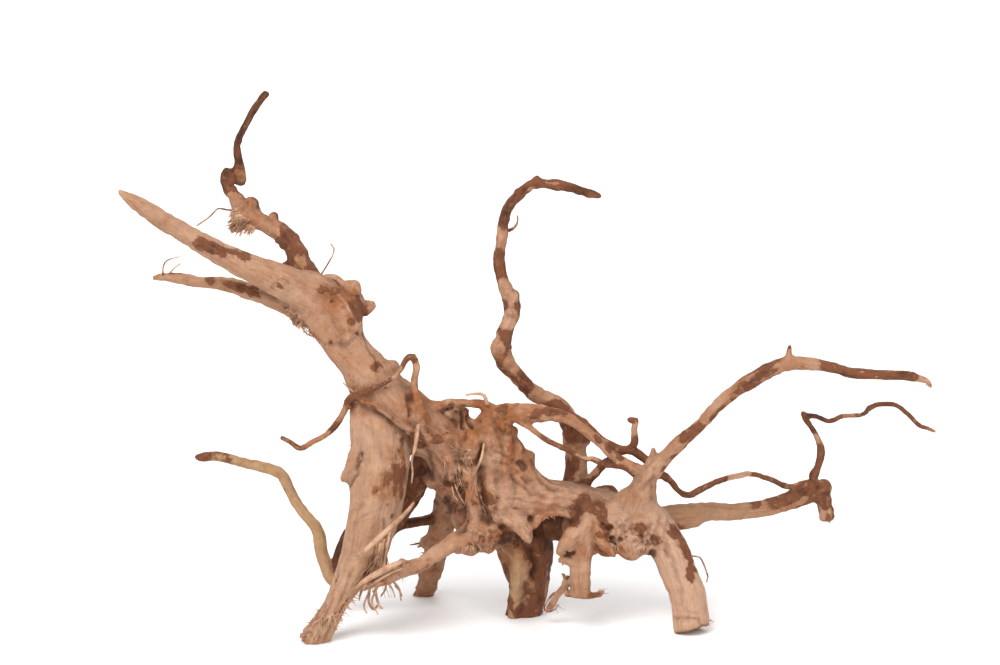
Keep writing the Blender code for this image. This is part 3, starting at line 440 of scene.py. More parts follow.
# Where bark is left on bare roots, as (across, up, radius) in mm.
BARK_SPOTS = [
    (-65.5, 82, 2.6), (-70, 79, 2), (-66.5, 88, 2.2), (-74, 77.5, 1.6), (-63.5, 93.5, 2), (-68, 75, 1.6),
    (29, 70, 4), (25, 65.5, 3.4), (23.5, 60.5, 2.6), (34.5, 67.5, 3.6), (37.5, 63, 3.6), (38.5, 58, 3.2),
    (36.5, 54, 2.6), (68.5, 86.5, 1.8), (74, 92, 2), (79, 97, 2.2), (83.5, 101.5, 2.6), (88.5, 106.5, 2.4),
    (93.5, 111.5, 2.2), (98.5, 117, 2.2), (103, 121, 2), (108.5, 125.5, 2), (115, 130, 2),
    (120.5, 133.5, 1.8), (-163.5, 199.5, 3.5), (-157.5, 198, 3), (-152, 196.5, 3.4), (-146, 195, 3.8),
    (-140.5, 193.5, 3.2), (-158, 181, 2.6), (-143.5, 178, 3), (-137, 176, 3), (-85, 169, 4),
    (-83, 163.5, 3.6), (-87.5, 161, 3), (-90.5, 156.5, 1.6), (-74.5, 138.5, 3), (-73.5, 143, 2),
    (-45, 102, 2.6), (-29, 69, 2.6), (-21.5, 71.5, 3.6), (4.5, 114.5, 3), (-12, 116, 3.4),
    (9.5, 115.5, 2.6), (74.5, 55.5, 3.6), (79.5, 49, 4), (82, 44, 4), (84, 38.5, 4), (81.5, 33, 3),
    (56.5, 71.5, 1.6), (114.5, 71, 3.2), (122.5, 72.5, 4.2), (129.5, 73.5, 4.4), (136.5, 75.5, 3.4),
    (145.5, 75.5, 7), (147.5, 79.5, 5), (142.5, 81.5, 4), (148.5, 69, 4), (80.5, 103.5, 4.6),
    (85, 107.5, 3.8), (93.5, 117, 2.2), (108, 131, 2.4), (118.5, 135.5, 2.2), (47.5, 95, 3),
    (42.5, 98.5, 3), (36.5, 103, 2.6), (-55, 47.5, 2), (16.5, 228, 3), (12.5, 229.5, 3), (-7, 219.5, 3.4),
    (-1.5, 225, 3), (21.5, 230.5, 3), (-12, 210.5, 2.4), (-13, 189, 4), (-9, 171.5, 3), (-9, 151, 2.6),
    (-8, 144.5, 2.2), (-2, 129.5, 2.8), (-8, 17, 4), (-3.5, 15.5, 4), (1, 16, 4), (-12, 20.5, 3),
    (1.5, 127.5, 3.6), (12.5, 119.5, 4.6), (19, 117.5, 4),
]

# Where the bark is gone from barked roots, as (across, up, radius) in mm.
BARE_SPOTS = [
    (-51.5, 119.5, 4), (-109, 7.5, 8), (-102.5, 18.5, 5), (31, 61.5, 2.4), (33.5, 59.5, 1.8),
    (-144.5, 210.5, 9), (-137.5, 210.5, 8), (-129.5, 208.5, 5), (-143.5, 233.5, 3), (-147, 219, 5),
    (-113.5, 190.5, 2.4), (-128.5, 201.5, 2.6), (2, 227, 1.2), (-16, 151, 2.8), (-15, 145.5, 3),
    (-185, 183, 2), (-181, 184, 2), (-13, 202.5, 4), (-9.5, 176.5, 4.5), (-9.5, 161.5, 4), (-6, 141.5, 5),
    (6.5, 124, 4), (-11, 203, 2), (29, 96.5, 3.5), (31.5, 86.5, 3), (-66, 135.5, 3), (-104.5, 101.5, 5),
    (-91, 114, 4), (-57, 135.5, 3), (36.5, 94, 2.5), (106.5, 82.5, 4), (131.5, 137.5, 5), (141.5, 138.5, 4),
    (144, 101.5, 2.5), (161.5, 114, 2.5), (202.5, 106, 2), (199, 132.5, 3), (14, 26.5, 4),
    (52.5, 106.5, 2.5),
]

# Balls in which roots have grown into one mass, as (across, up, depth, radius) in mm.
MERGED = [
    (-102.5, 170.5, -10, 26), (-93.5, 173.5, -8, 22), (-98.5, 162.5, -10, 20), (70.5, 64.5, -10, 22),
    (56.5, 75.5, -12, 20), (-13.5, 86.5, -8, 34), (-38.5, 101.5, -6, 26), (9, 76.5, -8, 28),
    (46.5, 71.5, -6, 30), (64, 64, -6, 24), (-28.5, 71.5, -8, 24), (-88.5, 166.5, 0, 30),
    (-106, 169, -4, 26), (56.5, 76.5, -6, 30), (-77.5, 69, -14, 30), (-98.5, 26.5, -28, 22),
]

# Where only thin scraps of bark are left, and two spots of painted shadow, as (across, up, radius) in mm.
THIN_BARK_AND_SHADOW_SPOTS = [
    # The first two spots paint a brown shadow patch on the head.
    (-101, 177, 3), (-97, 176, 2.4), (-123, 179.5, 2), (-75.5, 125.5, 1.6), (-71, 127, 1.6),
    (56.5, 57.5, 3), (64, 51.5, 2.4), (-63.5, 95.5, 3.2), (-63, 90.5, 3.4), (-64, 85.5, 3.6),
    (-68, 81.5, 3), (-71.5, 79, 2.6), (-75.5, 76.5, 2.2), (-65.5, 79.5, 3.2), (-65, 74.5, 2.8),
    (-62.5, 101.5, 2), (-69, 69, 1.8), (-67.5, 63.5, 1.8), (30.5, 65.5, 4), (39.5, 58, 3), (-39.5, 80.5, 3),
    (-34, 79.5, 3.4), (-40.5, 67.5, 4), (-56, 103, 4), (-53.5, 99.5, 3),
]

# Where the wood is stained, as (across, up, radius) in mm.
ORANGE_SPOTS = [
    (39.5, 50, 5), (42, 46, 4), (-62, 90.5, 8), (-66, 81.5, 8), (-71, 77.5, 6), (54, 51.5, 9),
    (61.5, 54, 6), (-13.5, 94, 6), (-37.5, 81.5, 9), (40, 49, 9), (-28.5, 111.5, 10), (-69.5, 29, 6),
    (-48.5, 114, 9), (-10, 51.5, 10), (9, 59, 9), (-1.5, 114, 6), (-91, 171.5, 9), (-88.5, 162.5, 8),
    (-54.5, 117.5, 7), (56.5, 54, 7), (-86, 121.5, 6), (-8.5, 109, 8), (-36, 116.5, 9),
]

# Balls in which the wood crumbles, as (across, up, depth, radius) in mm.
CRUMBLING = [
    (-14.5, 61.5, -16, 3), (-7.5, 58.5, -18, 3), (-1.5, 53.5, -20, 3), (7, 63, -17, 3),
    (14.5, 65.5, -16, 3), (22, 64.5, -14, 3), (39.5, 54.5, -15, 4), (21, 45.5, -20, 4),
    (17.5, 40.5, -20, 3), (-39.5, 81.5, -10, 4), (-40.5, 67.5, 6, 5), (-55.5, 102.5, -14, 4),
    (-86, 124, -16, 3), (-98.5, 171.5, -12, 3), (-82.5, 171.5, -8, 5), (35.5, 49, -14, 5),
    (-25.5, 51.5, -16, 9), (-31.5, 49.5, -18, 6), (-18.5, 53, -16, 7), (49, 55.5, -14, 9),
    (56.5, 51.5, -14, 9), (42.5, 51.5, -14, 6), (-115, 159, -10, 8), (-120.5, 165.5, -8, 5),
    (-142, 213.5, 31, 7), (-107.5, 2.5, -36, 8), (-53.5, 25.5, 46, 5), (-37, 78.5, -14, 5),
    (-87.5, 120.5, -16, 4), (64, 53.5, -10, 6), (-6, 49, -12, 7), (-77.5, 21.5, -24, 6), (-1, 15.5, 10, 6),
    (-64.5, 39, -34, 5), (-11, 109, -10, 5),
]

# Balls in which painted shade darkens hollows and recesses, as (across, up, depth, radius) in mm.
SHADED = [
    (12.5, 56.5, -16, 8), (6.5, 53.5, -12, 7), (-9, 51.5, -10, 7), (-34.5, 67.5, 0, 8), (-34, 111.5, -8, 6),
    (4.5, 38.5, 4, 8), (-22, 71.5, -14, 4), (21, 44.5, -18, 4.6), (12.5, 56.5, 0, 15), (-35, 112.5, -4, 6),
    (53, 47, -9, 7), (-3, 88.5, -9, 4.6), (41, 56.5, -12, 3), (62.5, 44.5, -14, 4),
]

# How much bark each root keeps at its start and end, and how many mm lie between. Over 0.5 it is covered.
BARK = {
    "neck": (0.2, 0.2, 0), "long_spike": (0.18, 0.24, 110), "lower_spike": (0.22, 0.42, 80),
    "rising_limb": (0.72, 0.85, 120), "burl_tuft": (0.3, 0.3, 0), "left_leg": (0.12, 0.1, 0),
    "back_leg": (0.36, 0.3, 0), "back_link": (0.75, 0.75, 0), "rear_stub": (0.95, 0.95, 0),
    "hook_flap": (0.05, 0.05, 0), "short_leg_hook": (0.1, 0.1, 0), "middle_leg": (0.7, 0.62, 0),
    "middle_leg_strip": (0.12, 0.12, 0), "tall_limb": (0.52, 0.74, 150), "tall_limb_nub": (0.8, 0.8, 0),
    "long_arc": (0.2, 0.72, 160), "arc_spine": (0.5, 0.5, 0), "right_limb": (0.2, 0.34, 60),
    "right_limb_stub": (0.6, 0.5, 0), "wire_riser": (0.78, 0.78, 0), "wire_tip": (0.74, 0.8, 0),
    "under_root": (0.62, 0.66, 0), "rear_root": (0.55, 0.62, 0), "top_root": (0.12, 0.3, 60),
    "thin_root": (0.3, 0.7, 40), "parallel_root": (0.75, 0.75, 0), "small_loop": (0.75, 0.75, 0),
    "twiglet": (0.6, 0.6, 0), "looping_root": (0.22, 0.6, 34), "crossing_root": (0.45, 0.45, 0),
    "rear_limb": (0.78, 0.6, 90), "swept_twig": (0.1, 0.62, 125), "short_leg_twig": (0.5, 0.5, 0),
    "short_leg_root": (0.5, 0.4, 0), "right_crown": (0.16, 0.14, 0), "crown_horn": (0.1, 0.1, 0),
    "front_root": (0.2, 0.16, 0), "lip_left": (0.05, 0.05, 0), "lip_right": (0.05, 0.05, 0),
}

# A root that BARK leaves out.
BARE = (0.16, 0.16, 0)

# How tan, how orange and how olive each root's bare wood is.
TINTS = {
    "neck": (0.55, 0.3, 0), "long_spike": (0.5, 0.22, 0), "lower_spike": (0.6, 0.25, 0),
    "rising_limb": (0.8, 0.5, 0), "left_leg": (0.45, 0.1, 0.06), "rear_limb": (0.9, 0.2, 0),
    "swept_twig": (0.75, 0.05, 0.5), "back_leg": (0.9, 0.6, 0), "torn_wedge": (0.9, 1.2, 0),
    "rear_stub": (0.9, 0.5, 0), "stump": (0.65, 0.45, 0), "hollow_rib": (0.7, 0.7, 0),
    "hollow_back": (0.85, 0.7, 0), "shelf_front": (0.35, 0.3, 0), "shelf_middle": (0.5, 0.4, 0),
    "lip_tooth": (0.2, 0.15, 0), "lip_left": (0.15, 0.1, 0), "lip_right": (0.15, 0.15, 0),
    "front_root": (0.6, 0.35, 0), "middle_leg": (0.8, 0.6, 0.1), "middle_leg_strip": (0.4, 0.35, 0.45),
    "short_leg": (0.6, 0.45, 0.05), "right_crown": (0, 0, 0), "long_arc": (0.6, 0.35, 0),
    "top_root": (0.6, 0.5, 0), "top_bridge": (0.6, 0.6, 0), "tall_limb": (0.6, 0.45, 0),
    "right_limb": (0.85, 0.1, 0.1), "thin_root": (0.6, 0.4, 0), "looping_root": (0.6, 0.6, 0),
    "crossing_root": (0.6, 0.5, 0), "groin_column": (0.8, 0.6, 0), "left_strand": (0.7, 0.6, 0),
    "wire_riser": (0.6, 0.6, 0), "wire_tip": (0.6, 0.6, 0), "cave_back": (0.9, 0.8, 0),
}

# A root that TINTS leaves out.
TAN = (0.5, 0.3, 0)

# How deep the grain of some roots is. Others have 1.
RELIEF = {
    "lower_spike": 0.5, "left_leg": 0.3, "right_crown": 0.45, "neck": 0.45, "long_spike": 0.5,
    "swept_twig": 0.5, "short_leg": 0.6, "shelf_front": 0.35, "shelf_middle": 0.35, "hollow_rib": 0.5,
    "groin_column": 0.6, "left_strand": 0.6, "hollow_back": 0.6, "stump": 0.6, "long_arc": 0.7,
    "right_limb": 0.6, "front_root": 0.8,
}

# Roots that end in a cut or a break.
CUT_ROOTS = ("left_leg", "right_crown", "middle_leg", "back_leg", "short_leg", "right_limb_stub")

# Thin hair roots, as stations like those of the roots.
HAIR_ROOTS = [
    [(-149, 216, 30, 0.5), (-154.5, 217, 29, 0.45), (-158.5, 213, 27, 0.45), (-166.5, 207.5, 22, 0.5)],
    [(-105, 181, 2, 0.5), (-101, 187, 2, 0.45), (-97, 194, 1, 0.4), (-96.5, 197, 0, 0.35),
     (-98.5, 199.5, 0, 0.3)],
    [(-182, 184, 21, 0.55), (-182, 187.5, 19, 0.45), (-180, 191, 17, 0.4), (-173.5, 193, 16, 0.3)],
    [(-179, 184.5, 20, 0.5), (-176, 187.5, 17, 0.4), (-172, 190.5, 16, 0.3)],
    [(-8, 206, 1, 0.9), (-5, 209, 0, 0.6), (-4.7, 213.5, -1, 0.4)],
    [(-113, 158, -8, 0.5), (-111, 155.5, -9, 0.4), (-108, 153, -10, 0.35), (-103, 154.5, -10, 0.3)],
    [(85, 44, -12, 0.5), (87.5, 41, -11, 0.45), (89.5, 36, -11, 0.45), (90.5, 31.5, -10, 0.4),
     (88.5, 29, -12, 0.35)],
    [(14, 25.5, -9, 0.6), (10, 20.5, -6, 0.5), (8.5, 16, -4, 0.45), (12.5, 15.5, -3, 0.35),
     (16, 19, -4, 0.3)],
    [(17, 36, -14, 0.6), (19, 31, -13, 0.5), (20.5, 26, -13, 0.5), (21, 23, -14, 0.4)],
    [(-89, 127, -22, 0.4), (-91, 129, -23, 0.35), (-93, 131, -23, 0.3)],
    [(36, 57, -14, 0.5), (38.5, 53, -16, 0.45), (40.5, 48.5, -17, 0.35)],
    [(-55, 50, 34, 0.5), (-57.5, 48.5, 33, 0.4), (-59.5, 49.5, 33, 0.3)],
]

# Long splinters that stand off the wood, as stations like those of the roots.
SPLINTERS = [
    [(-54.2, 109, -21.5, 0.8), (-55, 104, -23, 1.1), (-56, 97.5, -24, 0.8), (-57.6, 91, -24, 0.6),
     (-57.2, 85, -23, 0.5), (-57.8, 79.5, -22, 0.4)],
    [(-56.5, 70, -28, 0.6), (-60, 65.5, -33, 1), (-66, 59.5, -38, 1.3), (-74, 52.5, -41, 1.3),
     (-81, 46, -41.5, 1.2), (-85.5, 43, -39, 0.7)],
    [(-20, 119, -7, 1.2), (-21.5, 123.6, -7, 0.9), (-25.5, 124.4, -6, 0.7), (-30.5, 123.8, -5, 0.5)],
    [(-21.5, 99.5, -15, 0.5), (-22.6, 93, -18, 0.7), (-25, 87, -19, 0.6), (-27.6, 83.5, -18, 0.3)],
    [(-36, 79, -12, 0.5), (-34, 74, -15, 0.4), (-31.5, 69.5, -16, 0.25)],
    [(-37.5, 78, -12, 0.4), (-36.5, 73.5, -14, 0.3), (-34.5, 71, -15, 0.2)],
    [(-73, 50, -32, 1.1), (-76, 38, -33, 0.9), (-78.5, 28, -32, 0.8), (-79, 20, -30, 0.7),
     (-76.5, 16.5, -29, 0.7), (-74.5, 19, -28, 0.5)],
    [(-72, 48, -33, 0.9), (-74, 36, -34, 0.8), (-75.6, 26, -34, 0.7), (-74, 18.5, -33, 0.7),
     (-72, 17, -32, 0.4)],
    [(-75, 44, -31, 0.9), (-79, 33, -30, 0.8), (-83, 25, -28, 0.7), (-84, 21, -27, 0.4)],
    [(-70, 50, -32, 0.8), (-71, 38, -32, 0.7), (-70.5, 28, -31, 0.6), (-73, 23, -30, 0.4)],
    [(-68.5, 56, -30, 0.8), (-70.5, 44, -34, 0.7), (-72.5, 34, -36, 0.6), (-77, 25, -35, 0.4)],
    [(-71, 52, -31, 0.7), (-74.5, 40, -33, 0.6), (-77, 30, -33, 0.5), (-81.5, 19, -31, 0.5),
     (-80, 14.5, -30, 0.3)],
    [(-72.5, 46, -32, 0.6), (-73, 32, -35, 0.5), (-77.5, 21, -34, 0.5), (-74.5, 14, -32, 0.3)],
    [(-86, 27, -36, 0.6), (-80, 31.5, -40.5, 1.5), (-72, 36, -42, 1.9), (-65, 39.5, -41.5, 1.3),
     (-61, 41, -39.5, 0.5)],
    [(-82, 26, -37, 0.4), (-75, 31, -40.5, 0.9), (-67, 35.5, -41, 0.8), (-62, 37, -39.5, 0.3)],
    [(-70, 30, -35, 0.5), (-67.5, 27, -36, 0.45), (-66, 22.5, -36, 0.3)],
    [(-67.5, 31, -34, 0.6), (-64, 27, -35, 0.5), (-63, 21, -35, 0.3)],
    [(-66, 28.5, -34, 0.5), (-63.5, 25.5, -34, 0.4), (-62.5, 23, -34, 0.25)],
]

# Torn fibres, as (start, end, spread, length, count, thickness). The start is (across, up, depth, the way
# they point). They grow from the wood's surface nearest to the line from start to end.
FRAYS = [
    ((-112, 4, -40, (-0.3, -0.5, -0.3)), (-97, 2, -40), 0.35, 4, 30, 0.4),
    ((-108, 12, -40, (-0.2, -0.6, -0.6)), (-94, 14, -40), 0.25, 6, 26, 0.4),
    ((-110, 8, -38, (-0.9, -0.3, 0.1)), (-106, 18, -36), 0.35, 3.2, 16, 0.3),
    ((-96, 6, -38, (0.8, -0.3, -0.4)), (-86, 24, -34), 0.4, 4, 26, 0.32),
    ((-76, 40, -34, (-0.25, -0.35, -1)), (-70, 52, -32), 0.1, 19, 34, 0.42),
    ((-74, 36, -30, (-0.15, -0.2, -1)), (-70, 46, -28), 0.16, 16, 16, 0.4),
    ((-66, 39, -37, (0.4, -0.5, 0.8)), (-58, 41, -35), 0.5, 2.4, 9, 0.4),
    ((-73, 33, -39, (0.2, -0.4, -0.9)), (-62, 34, -37), 0.5, 3.4, 14, 0.24),
    ((-150, 209, 24, (-0.5, -0.3, -0.8)), (-138, 204, 24), 0.25, 4.6, 90, 0.36),
    ((-150, 213, 23, (-0.6, -0.5, -0.7)), (-136, 207, 23), 0.25, 4.6, 90, 0.36),
    ((-150, 217, 23, (-0.7, -0.6, -0.6)), (-139, 211, 23), 0.25, 4.2, 80, 0.34),
    ((-149, 221, 24, (-0.8, -0.5, -0.5)), (-144, 216, 24), 0.3, 3.2, 30, 0.3),
    ((-121, 164, -8, (-0.5, -0.5, -0.7)), (-109, 153, -12), 0.45, 3.6, 46, 0.3),
    ((-118, 168, -8, (-0.4, -0.7, -0.5)), (-106, 158, -12), 0.45, 3, 30, 0.28),
    ((-37, 96, -16, (-0.5, -0.7, -0.2)), (-27, 96, -17), 0.45, 3.4, 80, 0.34),
    ((-36, 93, -16, (-0.3, -0.6, -0.6)), (-28, 92, -17), 0.45, 3.2, 60, 0.32),
    ((-36, 81, -15, (0.3, -0.6, -0.7)), (-31, 79, -15), 0.4, 3.4, 12, 0.22),
    ((-33, 57, -22, (-0.3, -0.6, -0.6)), (-18, 54, -22), 0.7, 2.4, 40, 0.24),
    ((-33, 49, -22, (-0.1, -0.5, -0.9)), (-18, 46, -22), 0.6, 3, 40, 0.24),
    ((-36, 88, -16, (0.05, -0.04, -1)), (-24, 82, -16), 0.1, 9, 34, 0.2),
    ((-32, 77, -15, (0.08, -0.02, -1)), (-23, 72, -15), 0.1, 9, 34, 0.2),
    ((-41, 92, -13, (0.15, -0.06, -1)), (-35, 86, -13), 0.12, 6, 20, 0.2),
    ((-108, 157, -12, (-0.4, -0.4, -0.8)), (-101, 150, -14), 0.35, 2.6, 44, 0.2),
    ((-17, 63, -20, (0.3, -0.4, -0.9)), (0, 57, -24), 0.35, 3, 40, 0.24),
    ((6, 63, -22, (0.1, -0.4, -0.9)), (20, 65, -20), 0.6, 2.2, 9, 0.2),
    ((-56, 48, 33, (-1, -0.2, 0.1)), (-53, 42, 38), 0.35, 3, 16, 0.3),
    ((-57, 24, 46, (-0.2, -0.4, -0.9)), (-48, 24, 46), 0.35, 2.6, 24, 0.3),
    ((35, 25, -22, (0.9, -0.2, 0.3)), (38, 24, -22), 0.45, 3.2, 22, 0.26),
    ((8, 16, -7, (0.1, -0.3, -0.6)), (16, 20, -8), 0.8, 4.4, 14, 0.22),
    ((88, 12, -19, (0.8, 0.1, 0.3)), (90.5, 7, -18), 0.4, 2.4, 14, 0.3),
    ((200, 130, -53, (0.5, -0.2, -0.5)), (202, 128, -53), 0.5, 2.4, 9, 0.24),
    ((-90, 100, -14, (-0.9, -0.4, 0.1)), (-88, 92, -14), 0.5, 2, 9, 0.24),
    ((-84, 94, -22, (-0.4, -0.9, -0.2)), (-80, 91, -24), 0.5, 2.4, 22, 0.22),
    ((40, 50, -16, (0.3, -0.5, -0.8)), (46, 47, -16), 0.4, 3.4, 18, 0.32),
    ((150, 60, 30, (0.4, -0.3, -0.8)), (153, 61, 33), 0.4, 1.6, 12, 0.26),
    ((-30, 60, 22, (-0.2, 0.8, -0.5)), (10, 58, 28), 0.6, 3, 30, 0.28),
    ((30, 60, 18, (0.2, 0.8, -0.5)), (60, 55, 10), 0.6, 2.6, 24, 0.28),
]

# How finely the roots are laid out, in mm, and how many sides they have.
RING_STEP = 1.6
GRAIN_STEP = 1.4
HAIR_STEP = 1.5
ROOT_SIDES = 20
HAIR_SIDES = 6
BALL_FINENESS = 3
BLEND_PASSES = 3
BLEND_SHARE = 0.5

# The least radius of a smoothed root, by its thinnest station, and a way that no root starts along.
THINNEST = 0.9
ODD_WAY = (0.31, 0.17, 0.93)

# A torn fibre's sides and joints, its root's depth in mm, and how it curls, varies in length and thins out.
FRAY_SIDES = 4
FRAY_JOINTS = 4
FRAY_ROOT = 0.8
FRAY_SEED = 11
FRAY_CURL = 0.5
FRAY_BEND = 0.45
FRAY_REACH = (0.45, 1.15)
FRAY_THINNING = 0.75

# Large numbers that scatter the key of each cell of the noise.
CELL_KEYS = (73856093, 19349663, 83492791)
SEED_KEY = 2654435761
SECOND_KEY = 1274126177
WORD = 0xFFFFFFFF
HALF_WORD = 0xFFFF

# Points are matched with roots this many at a time, and each root is laid out this many mm after the last.
GRAIN_CHUNK = 8000
ROOT_GAP = 391.0

# The corners of a triangle, a length in mm beyond the whole piece, and the shortest offset with a direction.
CORNERS = 3
FAR_AWAY = 1e9
SHORTEST = 0.1

# How far the drawn marks stray, in mm, how fine that wander is, and its two seeds.
WANDER = 0.9
WANDER_SCALE = 0.33
WANDER_SEEDS = (21, 22)

# A drawn mark fades out this many radii from its middle.
SPOT_EDGE = 1.75
BALL_EDGE = 1.6
PIT_EDGE = 1.5
PIT_STEEPNESS = 1.1

# Drawn marks fade on faces that turn away: they end this far past edge-on, and are full one span nearer.
EDGE_ON = 0.15
FACING_SPAN = 0.5

# Roots over this radius in mm melt into one mass, fully so where they are one span thicker.
MERGE_FROM = 3
MERGE_SPAN = 4
MERGE_PASSES = 90
SEAM_PASSES = 10
SEAM_WIDTH = 4

# Waves along a root, as (setting, length in mm, change about it, largest radius that counts, seed, follows
# RELIEF), and the least and the largest radius that counts for any.
WAVES = (
    ("fluting", 26, 1.4, 16.0, 1, False),
    ("knuckles", 7, 0.9, 7, 2, True),
    ("beads", 2.6, 1.0, 4, 6, True),
)
THICKNESS = (1.0, 16.0)

# Ridges along the grain, as (stretch, seed, layers). The sinews rise over a span of radii in mm, and the
# strands are full from a radius of STRANDS_FULL.
SINEWS = ((0.03, 0.16, 0.16), 3, 2)
STRANDS = ((0.05, 0.42, 0.42), 4, 1)
GNARLS = ((0.07, 0.19, 0.19), 17, 3)
SINEWS_FROM = 6
SINEWS_SPAN = 8
STRANDS_FULL = 5
STRANDS_LEAST = 0.3

# Crumbling wood, as (scale, seed, layers) of its lumps and of its nodules, and how high these stand in mm.
CRUMB_LUMPS = (0.3, 7, 2)
CRUMB_NODULES = (0.4, 8, 2)
LUMP_SHARE = 0.6
NODULE_HEIGHT = 2.4
NODULE_TOP = 1.3
NODULE_SINK = 0.55

# The bark's edge rises over this span of cover. The surface moves in by no more than a share of the root's
# radius, taken as at least DEEPEST_FROM mm, and out by no more than HIGHEST mm.
BARK_EDGE = 0.44
BARK_EDGE_SPAN = 0.14
DEEPEST = 0.42
DEEPEST_FROM = 1.4
HIGHEST = 2.2

# Noise in the bark's cover: its stretches along and across the grain, its seeds and its strengths.
WRAP_ALONG = 0.05
WRAP_ROUND = 1.2
RAGGED_STRETCH = (0.08, 0.25, 0.25)
STREAKY_STRETCH = (0.14, 0.6, 0.6)
WRAP_SEED = 15
RAGGED_SEED = 5
STREAKY_SEED = 9
BARK_LAYERS = 3
WRAP_SHARE = 0.65
RAGGED_SHARE = 0.5
BARK_NOISE = 0.26
THIN_ROOT = 4
THIN_LEAST = 0.4

# How strongly drawn spots add bark or take it off, and how much less bark the front of a bare root has.
SPOT_BARK = 0.66
THIN_BARK = 0.62
SPOT_BARE = 0.6
FRONT_BARE = 0.35
COVERED = 0.5

# What paint reads off the surface: passes of smoothing, depths in mm, and the painted shade each gives.
TINT_PASSES = 24
NEAR_PASSES = 9
FAR_PASSES = 60
ORANGE_SHARE = 0.7
CREASE_DEPTH = 0.35
CREASE_SHADE = 0.55
CAVE_DEPTH = 0.5
CAVE_SPAN = 2.0
CAVE_SHADE = 0.75
PIT_SHADE = 0.7
SHADE_BALL_STRENGTH = 0.8
# A ridge this many mm proud is paled fully, for wear and as a painted highlight.
WORN_HIGHLIGHT_HEIGHT = 0.3

# A cut end reaches this many radii from its middle and this many mm back, on faces that turn outward.
CUT_REACH = 1.5
CUT_BACK = 3
CUT_FACING = 0.6

# The curve between a shown colour and a linear one, as sRGB defines it.
SRGB_TOE = 0.04045
SRGB_SLOPE = 12.92
SRGB_OFFSET = 0.055
SRGB_POWER = 2.4
BRIGHTEST = 255

# Noises of the wood's material, as (stretch, detail, roughness) when laid along the grain, or (scale, detail,
# roughness) when laid in the object's own space.
GRAIN_NOISES = {
    "streaks": ((0.05, 0.55, 0.55), 5.0, 0.62),
    "lines": ((0.07, 1.5, 1.5), 4.0, 0.72),
    "bark_streaks": ((0.22, 0.5, 0.5), 5.0, 0.65),
}
PLACE_NOISES = {
    "clouds": (55.0, 4.0, 0.55),
    "mottle": (210.0, 5.0, 0.6),
    "grains": (480.0, 3.0, 0.6),
    "pores": (620.0, 3.0, 0.6),
    "specks": (1150.0, 2.0, 0.5),
}

# What darkens and lightens bare wood, as (noise, where it starts, where it is full, factor of the colour).
TONES = (
    ("streaks", 0.47, 0.75, (0.8, 0.68, 0.6, 1)),
    ("lines", 0.52, 0.78, (0.76, 0.64, 0.56, 1)),
    ("mottle", 0.52, 0.8, (0.86, 0.76, 0.7, 1)),
    ("mottle", 0.5, 0.3, (1.1, 1.08, 1.06, 1)),
    ("grains", 0.54, 0.85, (0.86, 0.78, 0.72, 1)),
    ("grains", 0.46, 0.25, (1.1, 1.08, 1.05, 1)),
)
# Ridges are paled by this tone, for wear and as a painted highlight.
WORN_HIGHLIGHT_SHARE = 0.5
WORN_HIGHLIGHT_TONE = (1.25, 1.2, 1.14, 1)

# Spans of noise or of a painted value over which one look turns into the next.
ORANGE_SPAN = (0.72, 1.25)
SPECK_SPAN = (0.7, 0.78)
RUBBLE_SPAN = (0.45, 0.62)
CLEAN_RUBBLE_SPAN = (0.75, 0.35)
BARK_SPAN = (0.46, 0.56)
STAIN_SPAN = (0.28, 0.5)
OLD_BARK_SPAN = (0.55, 1.1)
TAN_FLECK_SPAN = (0.56, 0.72)
ORANGE_FLECK_SPAN = (0.52, 0.68)
RING_SPAN = (-0.4, 0.9)

# How strong those looks are where they are full.
SPECK_SHARE = 0.4
RUBBLE_SHARE = 0.7
STAIN_SHARE = 0.55
TAN_FLECK_SHARE = 0.6
ORANGE_FLECK_SHARE = 0.5

# How noise is scaled and shifted for the tan wood, torn bark, old bark and the painted shade in hollows.
CLOUD_SCALE = (1.5, -0.75)
TORN_STREAKS = 0.7
TORN_MOTTLE = (0.5, -0.6)
OLD_BARK_SCALE = (-2.4, 1.2)
SHADE_MOTTLE_SCALE = (0.9, 0.35)
ACROSS_GRAIN = (0, 1, 1)
RINGS_PER_MM = 5.5

# The fine bumps of the wood: the share of each noise, and the strength and the depth in metres of the whole.
LINE_BUMP = 0.5
PORE_BUMP = 0.7
MOTTLE_BUMP = 0.7
BARK_BUMP = 0.5
BARK_STREAK_BUMP = 0.4
WOOD_BUMP = {"Strength": 0.9, "Distance": 0.0013}

# Roughness and shine.
WOOD_ROUGHNESS = (0.2, 0.68)
BARK_ROUGHNESS = 0.08
WOOD_SHINE = 0.28
FIBRE_ROUGHNESS = 0.7
FIBRE_SHINE = 0.3
FLOOR_ROUGHNESS = 0.9
FLOOR_SHINE = 0.1
FLOOR_TONE = 0.93

# The patches and the fine bumps of fibres.
PATCH_NOISE = (190.0, 3.0)
PATCH_SPAN = (0.38, 0.66)
FIBRE_NOISE = (2500.0, 2.0)
FIBRE_BUMP = {"Strength": 0.4, "Distance": 0.0002}

# The lights, as (place, aim, size) in metres, each with its strength in the stage's setting of the same name.
LIGHTS = {
    "key": ((-0.7, -1.3, 1.8), (0, 0, 0.1), 1.5),
    "fill": ((1.5, -1.0, 0.9), (0, 0, 0.1), 1.2),
    "backdrop": ((0, 2.6, 2.0), (0, 2.9, 0), 3.2),
}

# The sky darkens from the horizon up to this height, and the camera sees this many metres far.
SKY_DARK_FROM = 0.1
CLIP_END = 100.0


def standing(across, up, depth):
    """The point in mm, in the finished frame, that the eye sees at this place of the drawing."""
    reach = (depth - EYE_UP * SINE + EYE_DISTANCE * COSINE) / ((up - EYE_UP) * SINE + EYE_DISTANCE * COSINE)
    seen_across = EYE_ACROSS + reach * (across - EYE_ACROSS)
    seen_up = EYE_UP + reach * (up - EYE_UP)
    beyond = EYE_DISTANCE * (reach - 1)
    height = seen_up * COSINE - beyond * SINE
    return np.stack([seen_across, depth + 0 * height, height], axis=-1) - MIDDLE


